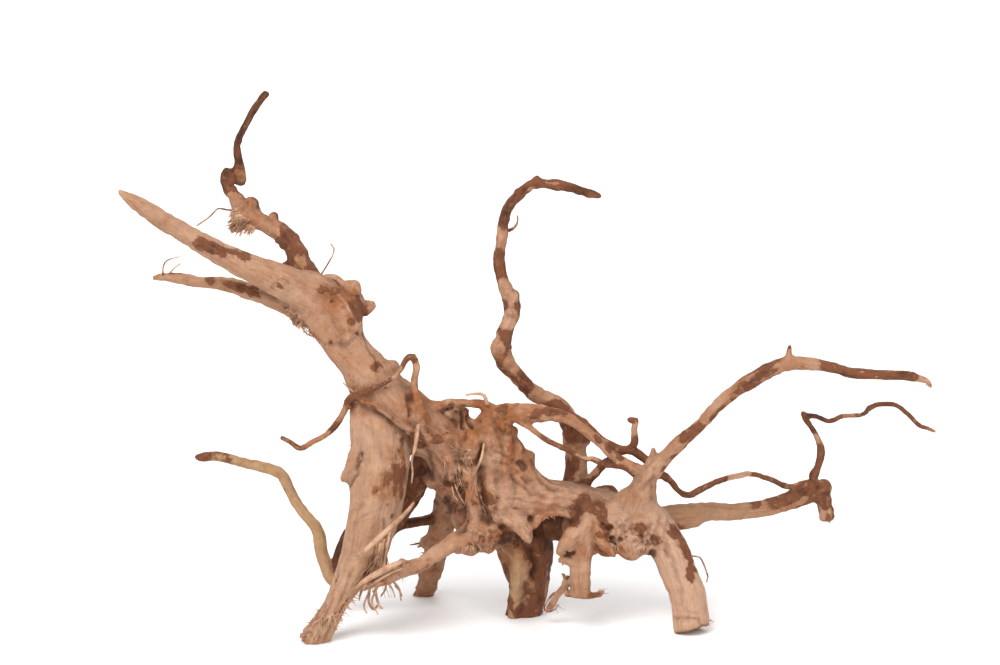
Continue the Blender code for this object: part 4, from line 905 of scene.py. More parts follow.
def drawn(points):
    """Where in the drawing the eye sees these points of the finished frame, as (across, up) in mm."""
    across, depth, height = (points + MIDDLE).T
    seen_up = height * COSINE + depth * SINE
    beyond = depth * COSINE - height * SINE
    reach = 1 + beyond / EYE_DISTANCE
    drawn_across = EYE_ACROSS + (across - EYE_ACROSS) / reach
    drawn_up = EYE_UP + (seen_up - EYE_UP) / reach
    return np.stack([drawn_across, drawn_up], axis=-1)


def wandering(points):
    """Where the eye sees these points, shifted a little here and there, so that no drawn mark is regular."""
    shift = np.stack([lattice_noise(points * WANDER_SCALE, seed) for seed in WANDER_SEEDS], axis=-1)
    return drawn(points) + WANDER * shift


def faces_the_eye(normals):
    """How much each normal turns to the eye, from 0 behind to 1 in front."""
    towards = np.array([0.0, -COSINE, SINE])
    return smoothstep((normals @ towards + EDGE_ON) / FACING_SPAN)


def smoothstep(share):
    share = np.clip(share, 0, 1)
    return share * share * (3 - 2 * share)


def smooth_line(rows, step):
    """A dense smooth line through rows of (x, y, z, radius), about one row each step."""
    rows = np.array(rows, float)
    ghost = np.vstack([2 * rows[0] - rows[1], rows, 2 * rows[-1] - rows[-2]])
    pieces = []
    for a, b, c, d in zip(ghost, ghost[1:], ghost[2:], ghost[3:]):
        count = max(2, int(np.linalg.norm(c[:3] - b[:3]) / step))
        t = np.linspace(0, 1, count, endpoint=False)[:, None]
        bend = (2 * a - 5 * b + 4 * c - d) * t**2 + (3 * b - a - 3 * c + d) * t**3
        pieces.append(0.5 * (2 * b + (c - a) * t + bend))
    line = np.vstack(pieces + [rows[-1:]])
    line[:, 3] = np.maximum(line[:, 3], rows[:, 3].min() * THINNEST)
    return line


def line_of(stations, step):
    return smooth_line([[*standing(*place), radius] for *place, radius in stations], step)


def frames_along(line):
    """(tangent, side) at each row of a line, with the side turning as little as it can."""
    tangents = np.gradient(line[:, :3], axis=0)
    tangents /= np.linalg.norm(tangents, axis=1, keepdims=True)
    side = np.cross(tangents[0], ODD_WAY)
    sides = []
    for tangent in tangents:
        side = side - tangent * (side @ tangent)
        side = side / np.linalg.norm(side)
        sides.append(side)
    return tangents, np.array(sides)


def ring_matrix(row, tangent, side):
    """Takes a unit circle to the ring of a tube at this row, in metres."""
    across = Vector(side) * row[3] * MM
    other = Vector(np.cross(tangent, side)) * row[3] * MM
    turn = Matrix((across, other, Vector(tangent) * MM)).transposed()
    return Matrix.Translation(Vector(row[:3]) * MM) @ turn.to_4x4()


def open_edges(geometry):
    """The edges in it that only one face meets."""
    edges = [part for part in geometry if isinstance(part, bmesh.types.BMEdge)]
    return [edge for edge in edges if len(edge.link_faces) == 1]


def add_tube(shape, line, sides):
    """Adds a closed tube along the line to the bmesh: a circle, extruded and moved from ring to ring."""
    tube = bmesh.new()
    places = [ring_matrix(row, *pair) for row, pair in zip(line, zip(*frames_along(line)))]
    ring = bmesh.ops.create_circle(tube, cap_ends=True, segments=sides, radius=1.0)["verts"]
    bmesh.ops.transform(tube, matrix=places[0], verts=ring)
    edges = list(tube.edges)
    for before, after in zip(places, places[1:]):
        grown = bmesh.ops.extrude_edge_only(tube, edges=edges)["geom"]
        ring = [part for part in grown if isinstance(part, bmesh.types.BMVert)]
        edges = open_edges(grown)
        bmesh.ops.transform(tube, matrix=after @ before.inverted(), verts=ring)
    bmesh.ops.edgeloop_fill(tube, edges=edges)
    bmesh.ops.recalc_face_normals(tube, faces=tube.faces)
    mesh = bpy.data.meshes.new("tube")
    tube.to_mesh(mesh)
    tube.free()
    shape.from_mesh(mesh)
    bpy.data.meshes.remove(mesh)


def add_ball(shape, across, up, depth, radius):
    made = bmesh.ops.create_icosphere(shape, subdivisions=BALL_FINENESS, radius=radius * MM)
    bmesh.ops.translate(shape, vec=Vector(standing(across, up, depth)) * MM, verts=made["verts"])


def add_object(name, data):
    obj = bpy.data.objects.new(name, data)
    bpy.context.scene.collection.objects.link(obj)
    return obj


def object_from(name, shape):
    mesh = bpy.data.meshes.new(name)
    shape.to_mesh(mesh)
    shape.free()
    return add_object(name, mesh)


def settle(obj):
    """Applies the object's modifiers to its mesh."""
    graph = bpy.context.evaluated_depsgraph_get()
    mesh = bpy.data.meshes.new_from_object(obj.evaluated_get(graph))
    old = obj.data
    obj.modifiers.clear()
    obj.data = mesh
    mesh.name = obj.name
    bpy.data.meshes.remove(old)


def remesh(obj, size):
    fuse = obj.modifiers.new("fuse", "REMESH")
    fuse.mode = "VOXEL"
    fuse.voxel_size = size * MM


def cut_away(obj, cutter):
    cut = obj.modifiers.new(cutter.name, "BOOLEAN")
    cut.operation = "DIFFERENCE"
    cut.object = cutter
    cut.solver = "MANIFOLD"


def points_of(mesh):
    """The mesh's vertices in mm."""
    flat = np.empty(len(mesh.vertices) * 3)
    mesh.vertices.foreach_get("co", flat)
    return flat.reshape(-1, 3) / MM


def move_to(mesh, points):
    """Moves the mesh's vertices to these points, in mm."""
    mesh.vertices.foreach_set("co", (points * MM).ravel())
    mesh.update()


def normals_of(mesh):
    flat = np.empty(len(mesh.vertices) * 3, np.float32)
    mesh.vertex_normals.foreach_get("vector", flat)
    return flat.reshape(-1, 3).astype(float)


def edges_of(mesh):
    flat = np.empty(len(mesh.edges) * 2, np.int32)
    mesh.edges.foreach_get("vertices", flat)
    return flat.reshape(-1, 2)


def soften(values, edges, passes):
    """Each vertex's values, averaged with its neighbours' again and again."""
    one_column = values.ndim == 1
    values = values.reshape(len(values), -1)
    count = np.bincount(edges.ravel(), minlength=len(values))[:, None] + 1
    for _ in range(passes):
        total = values.copy()
        for column in range(values.shape[1]):
            held = values[:, column]
            total[:, column] += np.bincount(edges[:, 0], held[edges[:, 1]], len(values))
            total[:, column] += np.bincount(edges[:, 1], held[edges[:, 0]], len(values))
        values = total / count
    return values[:, 0] if one_column else values


def lattice_noise(points, seed):
    """Smooth noise from -1 to 1, one lump for each unit of length, the same on every run."""
    base = np.floor(points).astype(np.int64)
    share = smoothstep(points - base)
    total = np.zeros(len(points))
    for corner in range(8):
        step = np.array([corner & 1, corner >> 1 & 1, corner >> 2 & 1])
        keys = (base + step) * CELL_KEYS
        key = keys[:, 0] ^ keys[:, 1] ^ keys[:, 2] ^ seed * SEED_KEY
        key = (key ^ key >> 13) * SECOND_KEY & WORD
        key = (key ^ key >> 16) & HALF_WORD
        weight = np.prod(np.where(step, share, 1 - share), axis=1)
        total += weight * (2 * key / HALF_WORD - 1)
    return total


def layered_noise(points, seed, layers):
    total = 0
    for layer in range(layers):
        total = total + lattice_noise(points * 2**layer, seed + layer) / 2**layer
    return total


def ridges(laid, stretch, seed, layers):
    """Noise with sharp crests, laid along the grain."""
    return 1 - 2 * np.abs(layered_noise(laid * stretch, seed, layers))


class Grain:
    """Where a point lies in the wood: how far along which root, and how far to each side of its middle."""

    def __init__(self):
        rows, tangents, sides, along, owner = [], [], [], [], []
        for index, stations in enumerate(ROOTS.values()):
            line = line_of(stations, GRAIN_STEP)
            steps = np.linalg.norm(np.diff(line[:, :3], axis=0), axis=1)
            tangent, side = frames_along(line)
            rows.append(line)
            tangents.append(tangent)
            sides.append(side)
            along.append(np.concatenate([[0], np.cumsum(steps)]))
            owner.append(np.full(len(line), index))
        self.rows = np.vstack(rows)
        self.tangents = np.vstack(tangents)
        self.sides = np.vstack(sides)
        self.along = np.concatenate(along)
        self.owner = np.concatenate(owner)

    def nearest(self, points):
        """The row whose tube surface lies nearest to each point."""
        middles = self.rows[:, :3].astype(np.float32)
        squares = (middles**2).sum(axis=1)
        found = np.empty(len(points), np.int64)
        for start in range(0, len(points), GRAIN_CHUNK):
            chunk = points[start : start + GRAIN_CHUNK].astype(np.float32)
            square = (chunk**2).sum(axis=1)[:, None] + squares - 2 * chunk @ middles.T
            gap = np.sqrt(np.maximum(square, 0)) - self.rows[:, 3].astype(np.float32)
            found[start : start + GRAIN_CHUNK] = gap.argmin(axis=1)
        return found

    def straightened(self, points, row):
        """(along, across, other) in mm, as if each root were laid out straight and far from the next."""
        offset = points - self.rows[row, :3]
        tangent, side = self.tangents[row], self.sides[row]
        other = np.cross(tangent, side)
        along = self.along[row] + (offset * tangent).sum(axis=1) + self.owner[row] * ROOT_GAP
        return np.stack([along, (offset * side).sum(axis=1), (offset * other).sum(axis=1)], axis=-1)


def gaps_to(places, across, up):
    """How far each place of the drawing is from this one."""
    return np.hypot(places[:, 0] - across, places[:, 1] - up)


def spots_on(places, spots):
    """How much round spots, as (across, up, radius), cover each place of the drawing, from 0 to 1."""
    cover = np.zeros(len(places))
    for across, up, radius in spots:
        cover = np.maximum(cover, np.clip(SPOT_EDGE - gaps_to(places, across, up) / radius, 0, 1))
    return cover


def balls_on(points, balls):
    """How deep each point lies in balls of (across, up, depth, radius), from 0 to 1."""
    cover = np.zeros(len(points))
    for *middle, radius in balls:
        gap = np.linalg.norm(points - standing(*middle), axis=1)
        cover = np.maximum(cover, smoothstep(BALL_EDGE - BALL_EDGE * gap / radius))
    return cover


def fold_heights(places):
    """The height in mm that the drawn ridges and grooves give at each place of the drawing."""
    height = np.zeros(len(places))
    for lift, width, route in FOLDS:
        nearest = np.full(len(places), FAR_AWAY)
        route = np.array(route, float)
        for start, end in zip(route, route[1:]):
            run = end - start
            share = np.clip((places - start) @ run / (run @ run), 0, 1)
            nearest = np.minimum(nearest, np.linalg.norm(places - start - share[:, None] * run, axis=1))
        height += lift * np.exp(-((nearest / width) ** 2))
    return height


def pit_depths(places):
    depth = np.zeros(len(places))
    for across, up, radius in PITS:
        hole = smoothstep(PIT_EDGE - gaps_to(places, across, up) / radius)
        depth = np.maximum(depth, radius * PIT_STEEPNESS * hole)
    return depth


def root_values(table, default):
    """One row of the given values for each root, in the order of ROOTS."""
    return np.array([table.get(name, default) for name in ROOTS], float)


def directions(offsets):
    """Each offset, made one unit long."""
    return offsets / np.maximum(np.linalg.norm(offsets, axis=1, keepdims=True), SHORTEST)


def bark_cover(points, normals, row, grain):
    """How near each point is to holding bark: over a half it does, under a half it is bare wood."""
    laid = grain.straightened(points, row)
    base = root_values(BARK, BARE)[grain.owner[row]]
    reach = np.clip(grain.along[row] / np.maximum(base[:, 2], 1), 0, 1)
    amount = base[:, 0] + (base[:, 1] - base[:, 0]) * reach
    front = faces_the_eye(normals)
    amount = amount * (1 - FRONT_BARE * front * (amount < COVERED))
    wrapped = np.column_stack([laid[:, 0] * WRAP_ALONG, WRAP_ROUND * directions(laid[:, 1:])])
    ragged = WRAP_SHARE * layered_noise(wrapped, WRAP_SEED, BARK_LAYERS)
    ragged = ragged + RAGGED_SHARE * layered_noise(laid * RAGGED_STRETCH, RAGGED_SEED, BARK_LAYERS)
    streaky = layered_noise(laid * STREAKY_STRETCH, STREAKY_SEED, BARK_LAYERS)
    thin = np.clip(grain.rows[row, 3] / THIN_ROOT, THIN_LEAST, 1)
    places = wandering(points)
    shown = np.maximum(amount, SPOT_BARK * spots_on(places, BARK_SPOTS) * front)
    # Thin scraps of bark, and a painted shadow patch on the head that takes the bark's colour.
    shown = np.maximum(shown, THIN_BARK * spots_on(places, THIN_BARK_AND_SHADOW_SPOTS) * front)
    shown -= SPOT_BARE * spots_on(places, BARE_SPOTS) * front
    return shown + BARK_NOISE * thin * ragged + BARK_NOISE * streaky


def blend_seams(values, edges, owner):
    """Evens out values where the surface passes from one root to the next, so that no step shows there."""
    crossing = owner[edges[:, 0]] != owner[edges[:, 1]]
    seam = np.zeros(len(values))
    seam[edges[crossing].ravel()] = 1
    seam = np.clip(SEAM_WIDTH * soften(seam, edges, SEAM_PASSES), 0, 1)
    return values + seam * (soften(values, edges, SEAM_PASSES) - values)


def merge_masses(mesh, grain):
    """Smooths away the creases between thick roots where they have grown into one mass."""
    points, edges = points_of(mesh), edges_of(mesh)
    thick = smoothstep((grain.rows[grain.nearest(points), 3] - MERGE_FROM) / MERGE_SPAN)
    share = (balls_on(points, MERGED) * thick)[:, None]
    move_to(mesh, points + share * (soften(points, edges, MERGE_PASSES) - points))


def root_relief(points, row, looks, grain):
    """The height in mm of what runs along the roots: flutes, knuckles, sinews, long grain and gnarls."""
    relief = root_values(RELIEF, 1.0)[grain.owner[row]]
    radius = grain.rows[row, 3]
    laid = grain.straightened(points, row)
    round_about = directions(laid[:, 1:])
    thick = np.clip(radius, *THICKNESS)
    lift = 0
    for setting, length, turns, thickest, seed, follows in WAVES:
        wave = lattice_noise(np.column_stack([laid[:, 0] / length, round_about * turns]), seed)
        share = relief if follows else 1.0
        lift = lift + getattr(looks, setting) * share * np.minimum(thick, thickest) * wave
    sinewy = smoothstep((radius - SINEWS_FROM) / SINEWS_SPAN)
    lift += looks.sinews * relief * sinewy * ridges(laid, *SINEWS)
    lift += looks.grain * relief * np.clip(radius / STRANDS_FULL, STRANDS_LEAST, 1) * ridges(laid, *STRANDS)
    lift += looks.gnarls * relief * balls_on(points, MERGED) * ridges(laid, *GNARLS)
    return lift


def crumbs(points):
    """The height of crumbling wood, where it crumbles fully, before its setting."""
    scale, *rest = CRUMB_LUMPS
    lumps = layered_noise(points * scale, *rest)
    scale, *rest = CRUMB_NODULES
    nodules = NODULE_HEIGHT * np.abs(layered_noise(points * scale, *rest))
    return LUMP_SHARE * lumps + (np.minimum(nodules, NODULE_TOP) - NODULE_SINK)


def sculpt(mesh, looks, grain):
    """Moves the surface in and out: what runs along the roots, crumbling, folds, pits and the bark's edge."""
    merge_masses(mesh, grain)
    points, normals = points_of(mesh), normals_of(mesh)
    row = grain.nearest(points)
    lift = blend_seams(root_relief(points, row, looks, grain), edges_of(mesh), grain.owner[row])
    lift += looks.crumble * balls_on(points, CRUMBLING) * crumbs(points)
    places = wandering(points)
    lift += faces_the_eye(normals) * (fold_heights(places) - pit_depths(places))
    cover = bark_cover(points, normals, row, grain)
    lift += looks.bark_lift * smoothstep((cover - BARK_EDGE) / BARK_EDGE_SPAN)
    lift = np.clip(lift, -DEEPEST * np.maximum(grain.rows[row, 3], DEEPEST_FROM), HIGHEST)
    move_to(mesh, points + normals * lift[:, None])


def write_attribute(mesh, name, kind, values, domain="POINT"):
    layer = mesh.attributes.new(name, kind, domain)
    field = "vector" if kind == "FLOAT_VECTOR" else "value"
    layer.data.foreach_set(field, values.astype(np.float32).ravel())


def write_grain(mesh, points, row, grain):
    """Writes each corner's place along its root. A face that bridges two roots takes one for all corners."""
    corners = np.empty(len(mesh.loops), np.int32)
    mesh.loops.foreach_get("vertex_index", corners)
    own = row[corners]
    first = np.repeat(own[::CORNERS], CORNERS)
    used = np.where(grain.owner[own] == grain.owner[first], own, first)
    write_attribute(mesh, "grain", "FLOAT_VECTOR", grain.straightened(points[corners], used), "CORNER")


def paint(mesh, grain):
    """Writes the material's grain, tints, bark, painted shade, wear and highlight, crumbs and cut ends."""
    points, normals, edges = points_of(mesh), normals_of(mesh), edges_of(mesh)
    row = grain.nearest(points)
    front = faces_the_eye(normals)
    places = wandering(points)
    tints = soften(root_values(TINTS, TAN)[grain.owner[row]], edges, TINT_PASSES)
    tints[:, 1] += ORANGE_SHARE * spots_on(places, ORANGE_SPOTS) * front
    # Painted shade in creases and deep cavities, which lie below the smoothed surface; ridges above it are
    # paled.
    low = soften(points, edges, NEAR_PASSES)
    hollow = ((low - points) * normals).sum(axis=1)
    far = soften(low, edges, FAR_PASSES)
    deep = ((far - points) * normals).sum(axis=1)
    creases = np.clip(hollow / CREASE_DEPTH, 0, 1) * CREASE_SHADE
    hollows = creases + np.clip((deep - CAVE_DEPTH) / CAVE_SPAN, 0, 1) * CAVE_SHADE
    # Painted shade in the small pits and in the shaded balls.
    pits = PIT_SHADE * np.clip(pit_depths(places), 0, 1) * front
    painted_shade = SHADE_BALL_STRENGTH * balls_on(points, SHADED)
    write_grain(mesh, points, row, grain)
    write_attribute(mesh, "tints", "FLOAT_VECTOR", tints)
    # The hollow mask is painted shade; the ridge mask pales ridges, for wear and as a painted highlight.
    painted = {
        "bark": soften(bark_cover(points, normals, row, grain), edges, 1),
        "hollow": np.clip(soften(hollows, edges, 1) + pits + painted_shade, 0, 1),
        "worn": np.clip(-hollow / WORN_HIGHLIGHT_HEIGHT, 0, 1),
        "crumble": balls_on(points, CRUMBLING),
        "cut": soften(cut_ends(points, normals), edges, 1),
    }
    for name, values in painted.items():
        write_attribute(mesh, name, "FLOAT", values)


def cut_ends(points, normals):
    """1 on the faces where a root was cut or broken off, 0 elsewhere."""
    cut = np.zeros(len(points))
    for name in CUT_ROOTS:
        line = line_of(ROOTS[name], GRAIN_STEP)
        outward = line[-1, :3] - line[-3, :3]
        outward /= np.linalg.norm(outward)
        offset = points - line[-1, :3]
        near = np.linalg.norm(offset, axis=1) < line[-1, 3] * CUT_REACH
        facing = normals @ outward > CUT_FACING
        cut[near & facing & (offset @ outward > -CUT_BACK)] = 1
    return cut


def linear(red, green, blue):
    """A colour as a picture shows it, from 0 to 255, turned into the linear values that shaders take."""
    shown = np.array([red, green, blue]) / BRIGHTEST
    curved = ((shown + SRGB_OFFSET) / (1 + SRGB_OFFSET)) ** SRGB_POWER
    return (*np.where(shown <= SRGB_TOE, shown / SRGB_SLOPE, curved), 1.0)


def colour(name, description, *shown):
    return FloatVectorProperty(
        name=name, description=description, subtype="COLOR", size=4, min=0, max=1, default=linear(*shown)
    )


def number(name, description, default, **more):
    return FloatProperty(name=name, description=description, default=default, **more)


class DriftwoodShape(bpy.types.PropertyGroup):
    """Sizes of the wood's surface."""

    voxel: number("Voxel", "Fineness of the grown surface, in mm", 0.85, min=0.3)
    faces: IntProperty(name="Faces", description="Triangles kept in the wood", default=190000, min=1000)
    fluting: number("Fluting", "How far out of round a root is, by its radius", 0.11)
    knuckles: number("Knuckles", "Swellings along a root, by its radius", 0.07)
    beads: number("Beads", "Small swellings along a thin root, by its radius", 0.15)
    gnarls: number("Gnarls", "Height of the gnarls where roots have merged, in mm", 0.5)
    sinews: number("Sinews", "Height of the strands of a thick root, in mm", 0.6)
    grain: number("Grain", "Height of the long grain, in mm", 0.16)
    crumble: number("Crumble", "Height of the crumbling wood, in mm", 1.7)
    bark_lift: number("Bark", "Thickness of the bark that is left, in mm", 0.14)


class DriftwoodColours(bpy.types.PropertyGroup):
    """Colours of the wood."""

    pale: colour("Pale wood", "Bare wood of the thick roots", 182, 147, 123)
    tan: colour("Tan wood", "Bare wood that has weathered", 157, 118, 91)
    orange: colour("Orange wood", "Stained wood of the crown", 146, 92, 57)
    olive: colour("Olive wood", "Wood with a green cast", 168, 140, 100)
    bark: colour("Bark", "Bark that is left on the roots", 122, 74, 49)
    dark_bark: colour("Dark bark", "Oldest and thickest bark", 68, 39, 28)
    # The hollow colour is painted shade in hollows, cracks and pits, and the colour of the grain's dark
    # specks.
    hollow: colour("Hollow", "Soil and rot in hollows and cracks", 80, 46, 27)
    fibre: colour("Fibre", "Freshly torn fibres", 198, 158, 128)
    hair: colour("Hair root", "Thin dark hair roots", 104, 64, 52)


class DriftwoodStage(bpy.types.PropertyGroup):
    """Sizes of the floor and strengths of the lights."""

    floor: number("Floor", "Half the width of the floor", 4.0, unit="LENGTH")
    sky: number("Sky", "Strength of the light from the room", 0.55)
    key: number("Key", "Strength of the main light", 46.0, unit="POWER")
    backdrop: number("Backdrop", "Strength of the light on the floor behind", 70.0, unit="POWER")
    fill: number("Fill", "Strength of the light from the other side", 9.0, unit="POWER")


def node(tree, kind, inputs, **settings):
    """Adds a shader node. An input is a plain value, or the socket that feeds it."""
    made = tree.nodes.new(kind)
    for name, value in settings.items():
        setattr(made, name, value)
    for key, value in inputs.items():
        if isinstance(value, bpy.types.NodeSocket):
            tree.links.new(value, made.inputs[key])
        else:
            made.inputs[key].default_value = value
    return made


def attribute(tree, name, output="Fac"):
    return node(tree, "ShaderNodeAttribute", {}, attribute_name=name).outputs[output]


def math_of(tree, operation, *values, clamp=False):
    inputs = dict(enumerate(values))
    return node(tree, "ShaderNodeMath", inputs, operation=operation, use_clamp=clamp).outputs[0]


def product(tree, first, second, **more):
    return math_of(tree, "MULTIPLY", first, second, **more)


def scaled(tree, value, factor, shift, **more):
    """The value times the factor, plus the shift."""
    return math_of(tree, "MULTIPLY_ADD", value, factor, shift, **more)


def stretched(tree, vector, scale):
    return node(tree, "ShaderNodeVectorMath", {0: vector, 1: scale}, operation="MULTIPLY").outputs[0]


def noise_of(tree, vector, scale, detail, roughness=0.55):
    inputs = {"Vector": vector, "Scale": scale, "Detail": detail, "Roughness": roughness}
    return node(tree, "ShaderNodeTexNoise", inputs).outputs["Fac"]


def ramp_of(tree, factor, low, high):
    """0 below low, 1 above high, and smooth between."""
    inputs = {"Value": factor, "From Min": low, "From Max": high}
    return node(tree, "ShaderNodeMapRange", inputs, interpolation_type="SMOOTHSTEP").outputs[0]


def blend_of(tree, factor, first, second, blend_type="MIX"):
    inputs = {"Factor": factor, 6: first, 7: second}
    return node(tree, "ShaderNodeMix", inputs, data_type="RGBA", blend_type=blend_type).outputs[2]


def roughen(tree, shader, height, strength_and_distance):
    bump = node(tree, "ShaderNodeBump", {"Height": height, **strength_and_distance})
    tree.links.new(bump.outputs["Normal"], shader.inputs["Normal"])


def grey(value):
    return (value, value, value, 1.0)


def new_material(name, shine):
    """A new material, its node tree and its shader."""
    material = bpy.data.materials.new(name)
    material.use_nodes = True
    shader = material.node_tree.nodes["Principled BSDF"]
    shader.inputs["Specular IOR Level"].default_value = shine
    return material, material.node_tree, shader


def object_place(tree):
    return node(tree, "ShaderNodeTexCoord", {}).outputs["Object"]


def wood_noises(tree, laid):
    """The noises of the wood's material by name."""
    place = object_place(tree)
    noises = {}
    for name, (stretch, detail, roughness) in GRAIN_NOISES.items():
        noises[name] = noise_of(tree, stretched(tree, laid, stretch), 1.0, detail, roughness)
    for name, settings in PLACE_NOISES.items():
        noises[name] = noise_of(tree, place, *settings)
    return noises


def bare_wood(tree, colours, noises, tints):
    """Pale, tan, orange, olive wood, long grain, wear and painted highlight on edges, specks, crumbling rot.
    """
    clouds, mottle = noises["clouds"], noises["mottle"]
    tan_share = math_of(tree, "ADD", tints[0], scaled(tree, clouds, *CLOUD_SCALE), clamp=True)
    wood = blend_of(tree, tan_share, colours.pale, colours.tan)
    stains = ramp_of(tree, math_of(tree, "ADD", clouds, mottle), *ORANGE_SPAN)
    wood = blend_of(tree, product(tree, tints[1], stains), wood, colours.orange)
    wood = blend_of(tree, tints[2], wood, colours.olive)
    for name, start, full, tone in TONES:
        wood = blend_of(tree, ramp_of(tree, noises[name], start, full), wood, tone, "MULTIPLY")
    # Ridges are paled, for wear and as a painted highlight.
    wood = blend_of(tree, product(tree, attribute(tree, "worn"), WORN_HIGHLIGHT_SHARE), wood, WORN_HIGHLIGHT_TONE, "MULTIPLY")
    specks = product(tree, ramp_of(tree, noises["specks"], *SPECK_SPAN), SPECK_SHARE)
    wood = blend_of(tree, specks, wood, colours.hollow)
    rubble = product(tree, attribute(tree, "crumble"), ramp_of(tree, mottle, *RUBBLE_SPAN))
    rubble = product(tree, rubble, ramp_of(tree, tints[1], *CLEAN_RUBBLE_SPAN))
    return blend_of(tree, product(tree, rubble, RUBBLE_SHARE), wood, colours.fibre)


def torn_bark(tree, colours, noises, bark_amount):
    """Bark that is darker where it is thick, with tan flecks and orange lines."""
    streaks = scaled(tree, noises["bark_streaks"], *OLD_BARK_SCALE)
    old = math_of(tree, "ADD", ramp_of(tree, bark_amount, *OLD_BARK_SPAN), streaks, clamp=True)
    bark = blend_of(tree, old, colours.bark, colours.dark_bark)
    flecks = product(tree, ramp_of(tree, noises["mottle"], *TAN_FLECK_SPAN), TAN_FLECK_SHARE)
    bark = blend_of(tree, flecks, bark, colours.tan)
    flecks = product(tree, ramp_of(tree, noises["lines"], *ORANGE_FLECK_SPAN), ORANGE_FLECK_SHARE)
    return blend_of(tree, flecks, bark, colours.orange)


def end_wood(tree, colours, laid, mottle):
    """The rings of a cut end."""
    across = stretched(tree, laid, ACROSS_GRAIN)
    out = node(tree, "ShaderNodeVectorMath", {0: across}, operation="LENGTH").outputs["Value"]
    rings = math_of(tree, "SINE", product(tree, math_of(tree, "ADD", out, mottle), RINGS_PER_MM))
    return blend_of(tree, ramp_of(tree, rings, *RING_SPAN), colours.orange, colours.tan)


def wood_material(colours):
    """Bare weathered wood, long grain, torn bark in patches, painted shade in hollows, rings on its cut ends.
    """
    material, tree, shader = new_material("weathered_root_wood", WOOD_SHINE)
    laid = attribute(tree, "grain", "Vector")
    tints = node(tree, "ShaderNodeSeparateXYZ", {0: attribute(tree, "tints", "Vector")}).outputs
    bark_amount = attribute(tree, "bark")
    noises = wood_noises(tree, laid)
    mottle, streaks = noises["mottle"], noises["bark_streaks"]
    wood = bare_wood(tree, colours, noises, tints)

    torn = scaled(tree, streaks, TORN_STREAKS, scaled(tree, mottle, *TORN_MOTTLE))
    edge = math_of(tree, "ADD", bark_amount, torn)
    barked = ramp_of(tree, edge, *BARK_SPAN)
    stain = product(tree, ramp_of(tree, edge, *STAIN_SPAN), STAIN_SHARE)
    wood = blend_of(tree, stain, wood, colours.orange)
    surface = blend_of(tree, barked, wood, torn_bark(tree, colours, noises, bark_amount))
    # Painted shade: the hollow mask, varied by the mottle, darkens creases, cavities, pits and the shaded
    # balls.
    painted_shade = product(tree, attribute(tree, "hollow"), scaled(tree, mottle, *SHADE_MOTTLE_SCALE), clamp=True)
    surface = blend_of(tree, painted_shade, surface, colours.hollow)
    surface = blend_of(tree, attribute(tree, "cut"), surface, end_wood(tree, colours, laid, mottle))
    tree.links.new(surface, shader.inputs["Base Color"])

    height = scaled(tree, noises["lines"], LINE_BUMP, product(tree, noises["pores"], PORE_BUMP))
    height = scaled(tree, mottle, MOTTLE_BUMP, height)
    height = scaled(tree, streaks, BARK_STREAK_BUMP, height)
    roughen(tree, shader, scaled(tree, barked, BARK_BUMP, height), WOOD_BUMP)
    roughness = scaled(tree, barked, BARK_ROUGHNESS, scaled(tree, mottle, *WOOD_ROUGHNESS))
    tree.links.new(roughness, shader.inputs["Roughness"])
    return material


def fibre_material(name, tone, shade):
    """Thin fibres and hairs, lighter and darker along their length."""
    material, tree, shader = new_material(name, FIBRE_SHINE)
    place = object_place(tree)
    patches = ramp_of(tree, noise_of(tree, place, *PATCH_NOISE), *PATCH_SPAN)
    tree.links.new(blend_of(tree, patches, tone, shade), shader.inputs["Base Color"])
    roughen(tree, shader, noise_of(tree, place, *FIBRE_NOISE), FIBRE_BUMP)
    shader.inputs["Roughness"].default_value = FIBRE_ROUGHNESS
    return material


def plain_material(name, tone):
    material, _, shader = new_material(name, FLOOR_SHINE)
    shader.inputs["Base Color"].default_value = tone
    shader.inputs["Roughness"].default_value = FLOOR_ROUGHNESS
    return material


def fused_wood(looks):
    """The roots and lumps, fused into one body and hollowed out."""
    shape = bmesh.new()
    for stations in ROOTS.values():
        add_tube(shape, line_of(stations, RING_STEP), ROOT_SIDES)
    for lump in LUMPS:
        add_ball(shape, *lump)
    wood = object_from("weathered_wood", shape)
    remesh(wood, looks.voxel)
    blend = wood.modifiers.new("blend", "SMOOTH")
    blend.factor = BLEND_SHARE
    blend.iterations = BLEND_PASSES
    shape = bmesh.new()
    for hollow in HOLLOWS:
        add_ball(shape, *hollow)
    balls = object_from("hollow_cutter", shape)
    remesh(balls, looks.voxel)
    settle(balls)
    cut_away(wood, balls)
    remesh(wood, looks.voxel)
    settle(wood)
    bpy.data.objects.remove(balls)
    return wood


def keep_in_box(mesh):
    """Presses the surface into the frame's box, so that nothing stands proud of it or below the floor."""
    low, high = (np.array(corner) / MM for corner in CAD_BOX)
    move_to(mesh, np.clip(points_of(mesh), low, high))


def keep_faces(wood, count):
    """Thins the mesh out to about this many triangles."""
    wood.data.calc_loop_triangles()
    fewer = wood.modifiers.new("fewer_faces", "DECIMATE")
    fewer.ratio = min(1.0, count / len(wood.data.loop_triangles))
    fewer.use_collapse_triangulate = True
    settle(wood)


class DRIFTWOOD_OT_wood(bpy.types.Operator):
    """Grow the wood: one body with its limbs and legs, sculpted and painted"""

    bl_idname = "driftwood.wood"
    bl_label = "Wood"

    def execute(self, context):
        looks = context.scene.driftwood_shape
        grain = Grain()
        wood = fused_wood(looks)
        sculpt(wood.data, looks, grain)
        keep_in_box(wood.data)
        keep_faces(wood, looks.faces)
        keep_in_box(wood.data)
        paint(wood.data, grain)
        wood.data.shade_smooth()
        wood.data.materials.clear()
        wood.data.materials.append(wood_material(context.scene.driftwood_colours))
        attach(wood, "root")
        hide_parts(NODE)
        return {"FINISHED"}


def on_surface(wood, point):
    """The place on the wood nearest to this point, both in mm."""
    return np.array(wood.closest_point_on_mesh(Vector(point) * MM)[1]) / MM


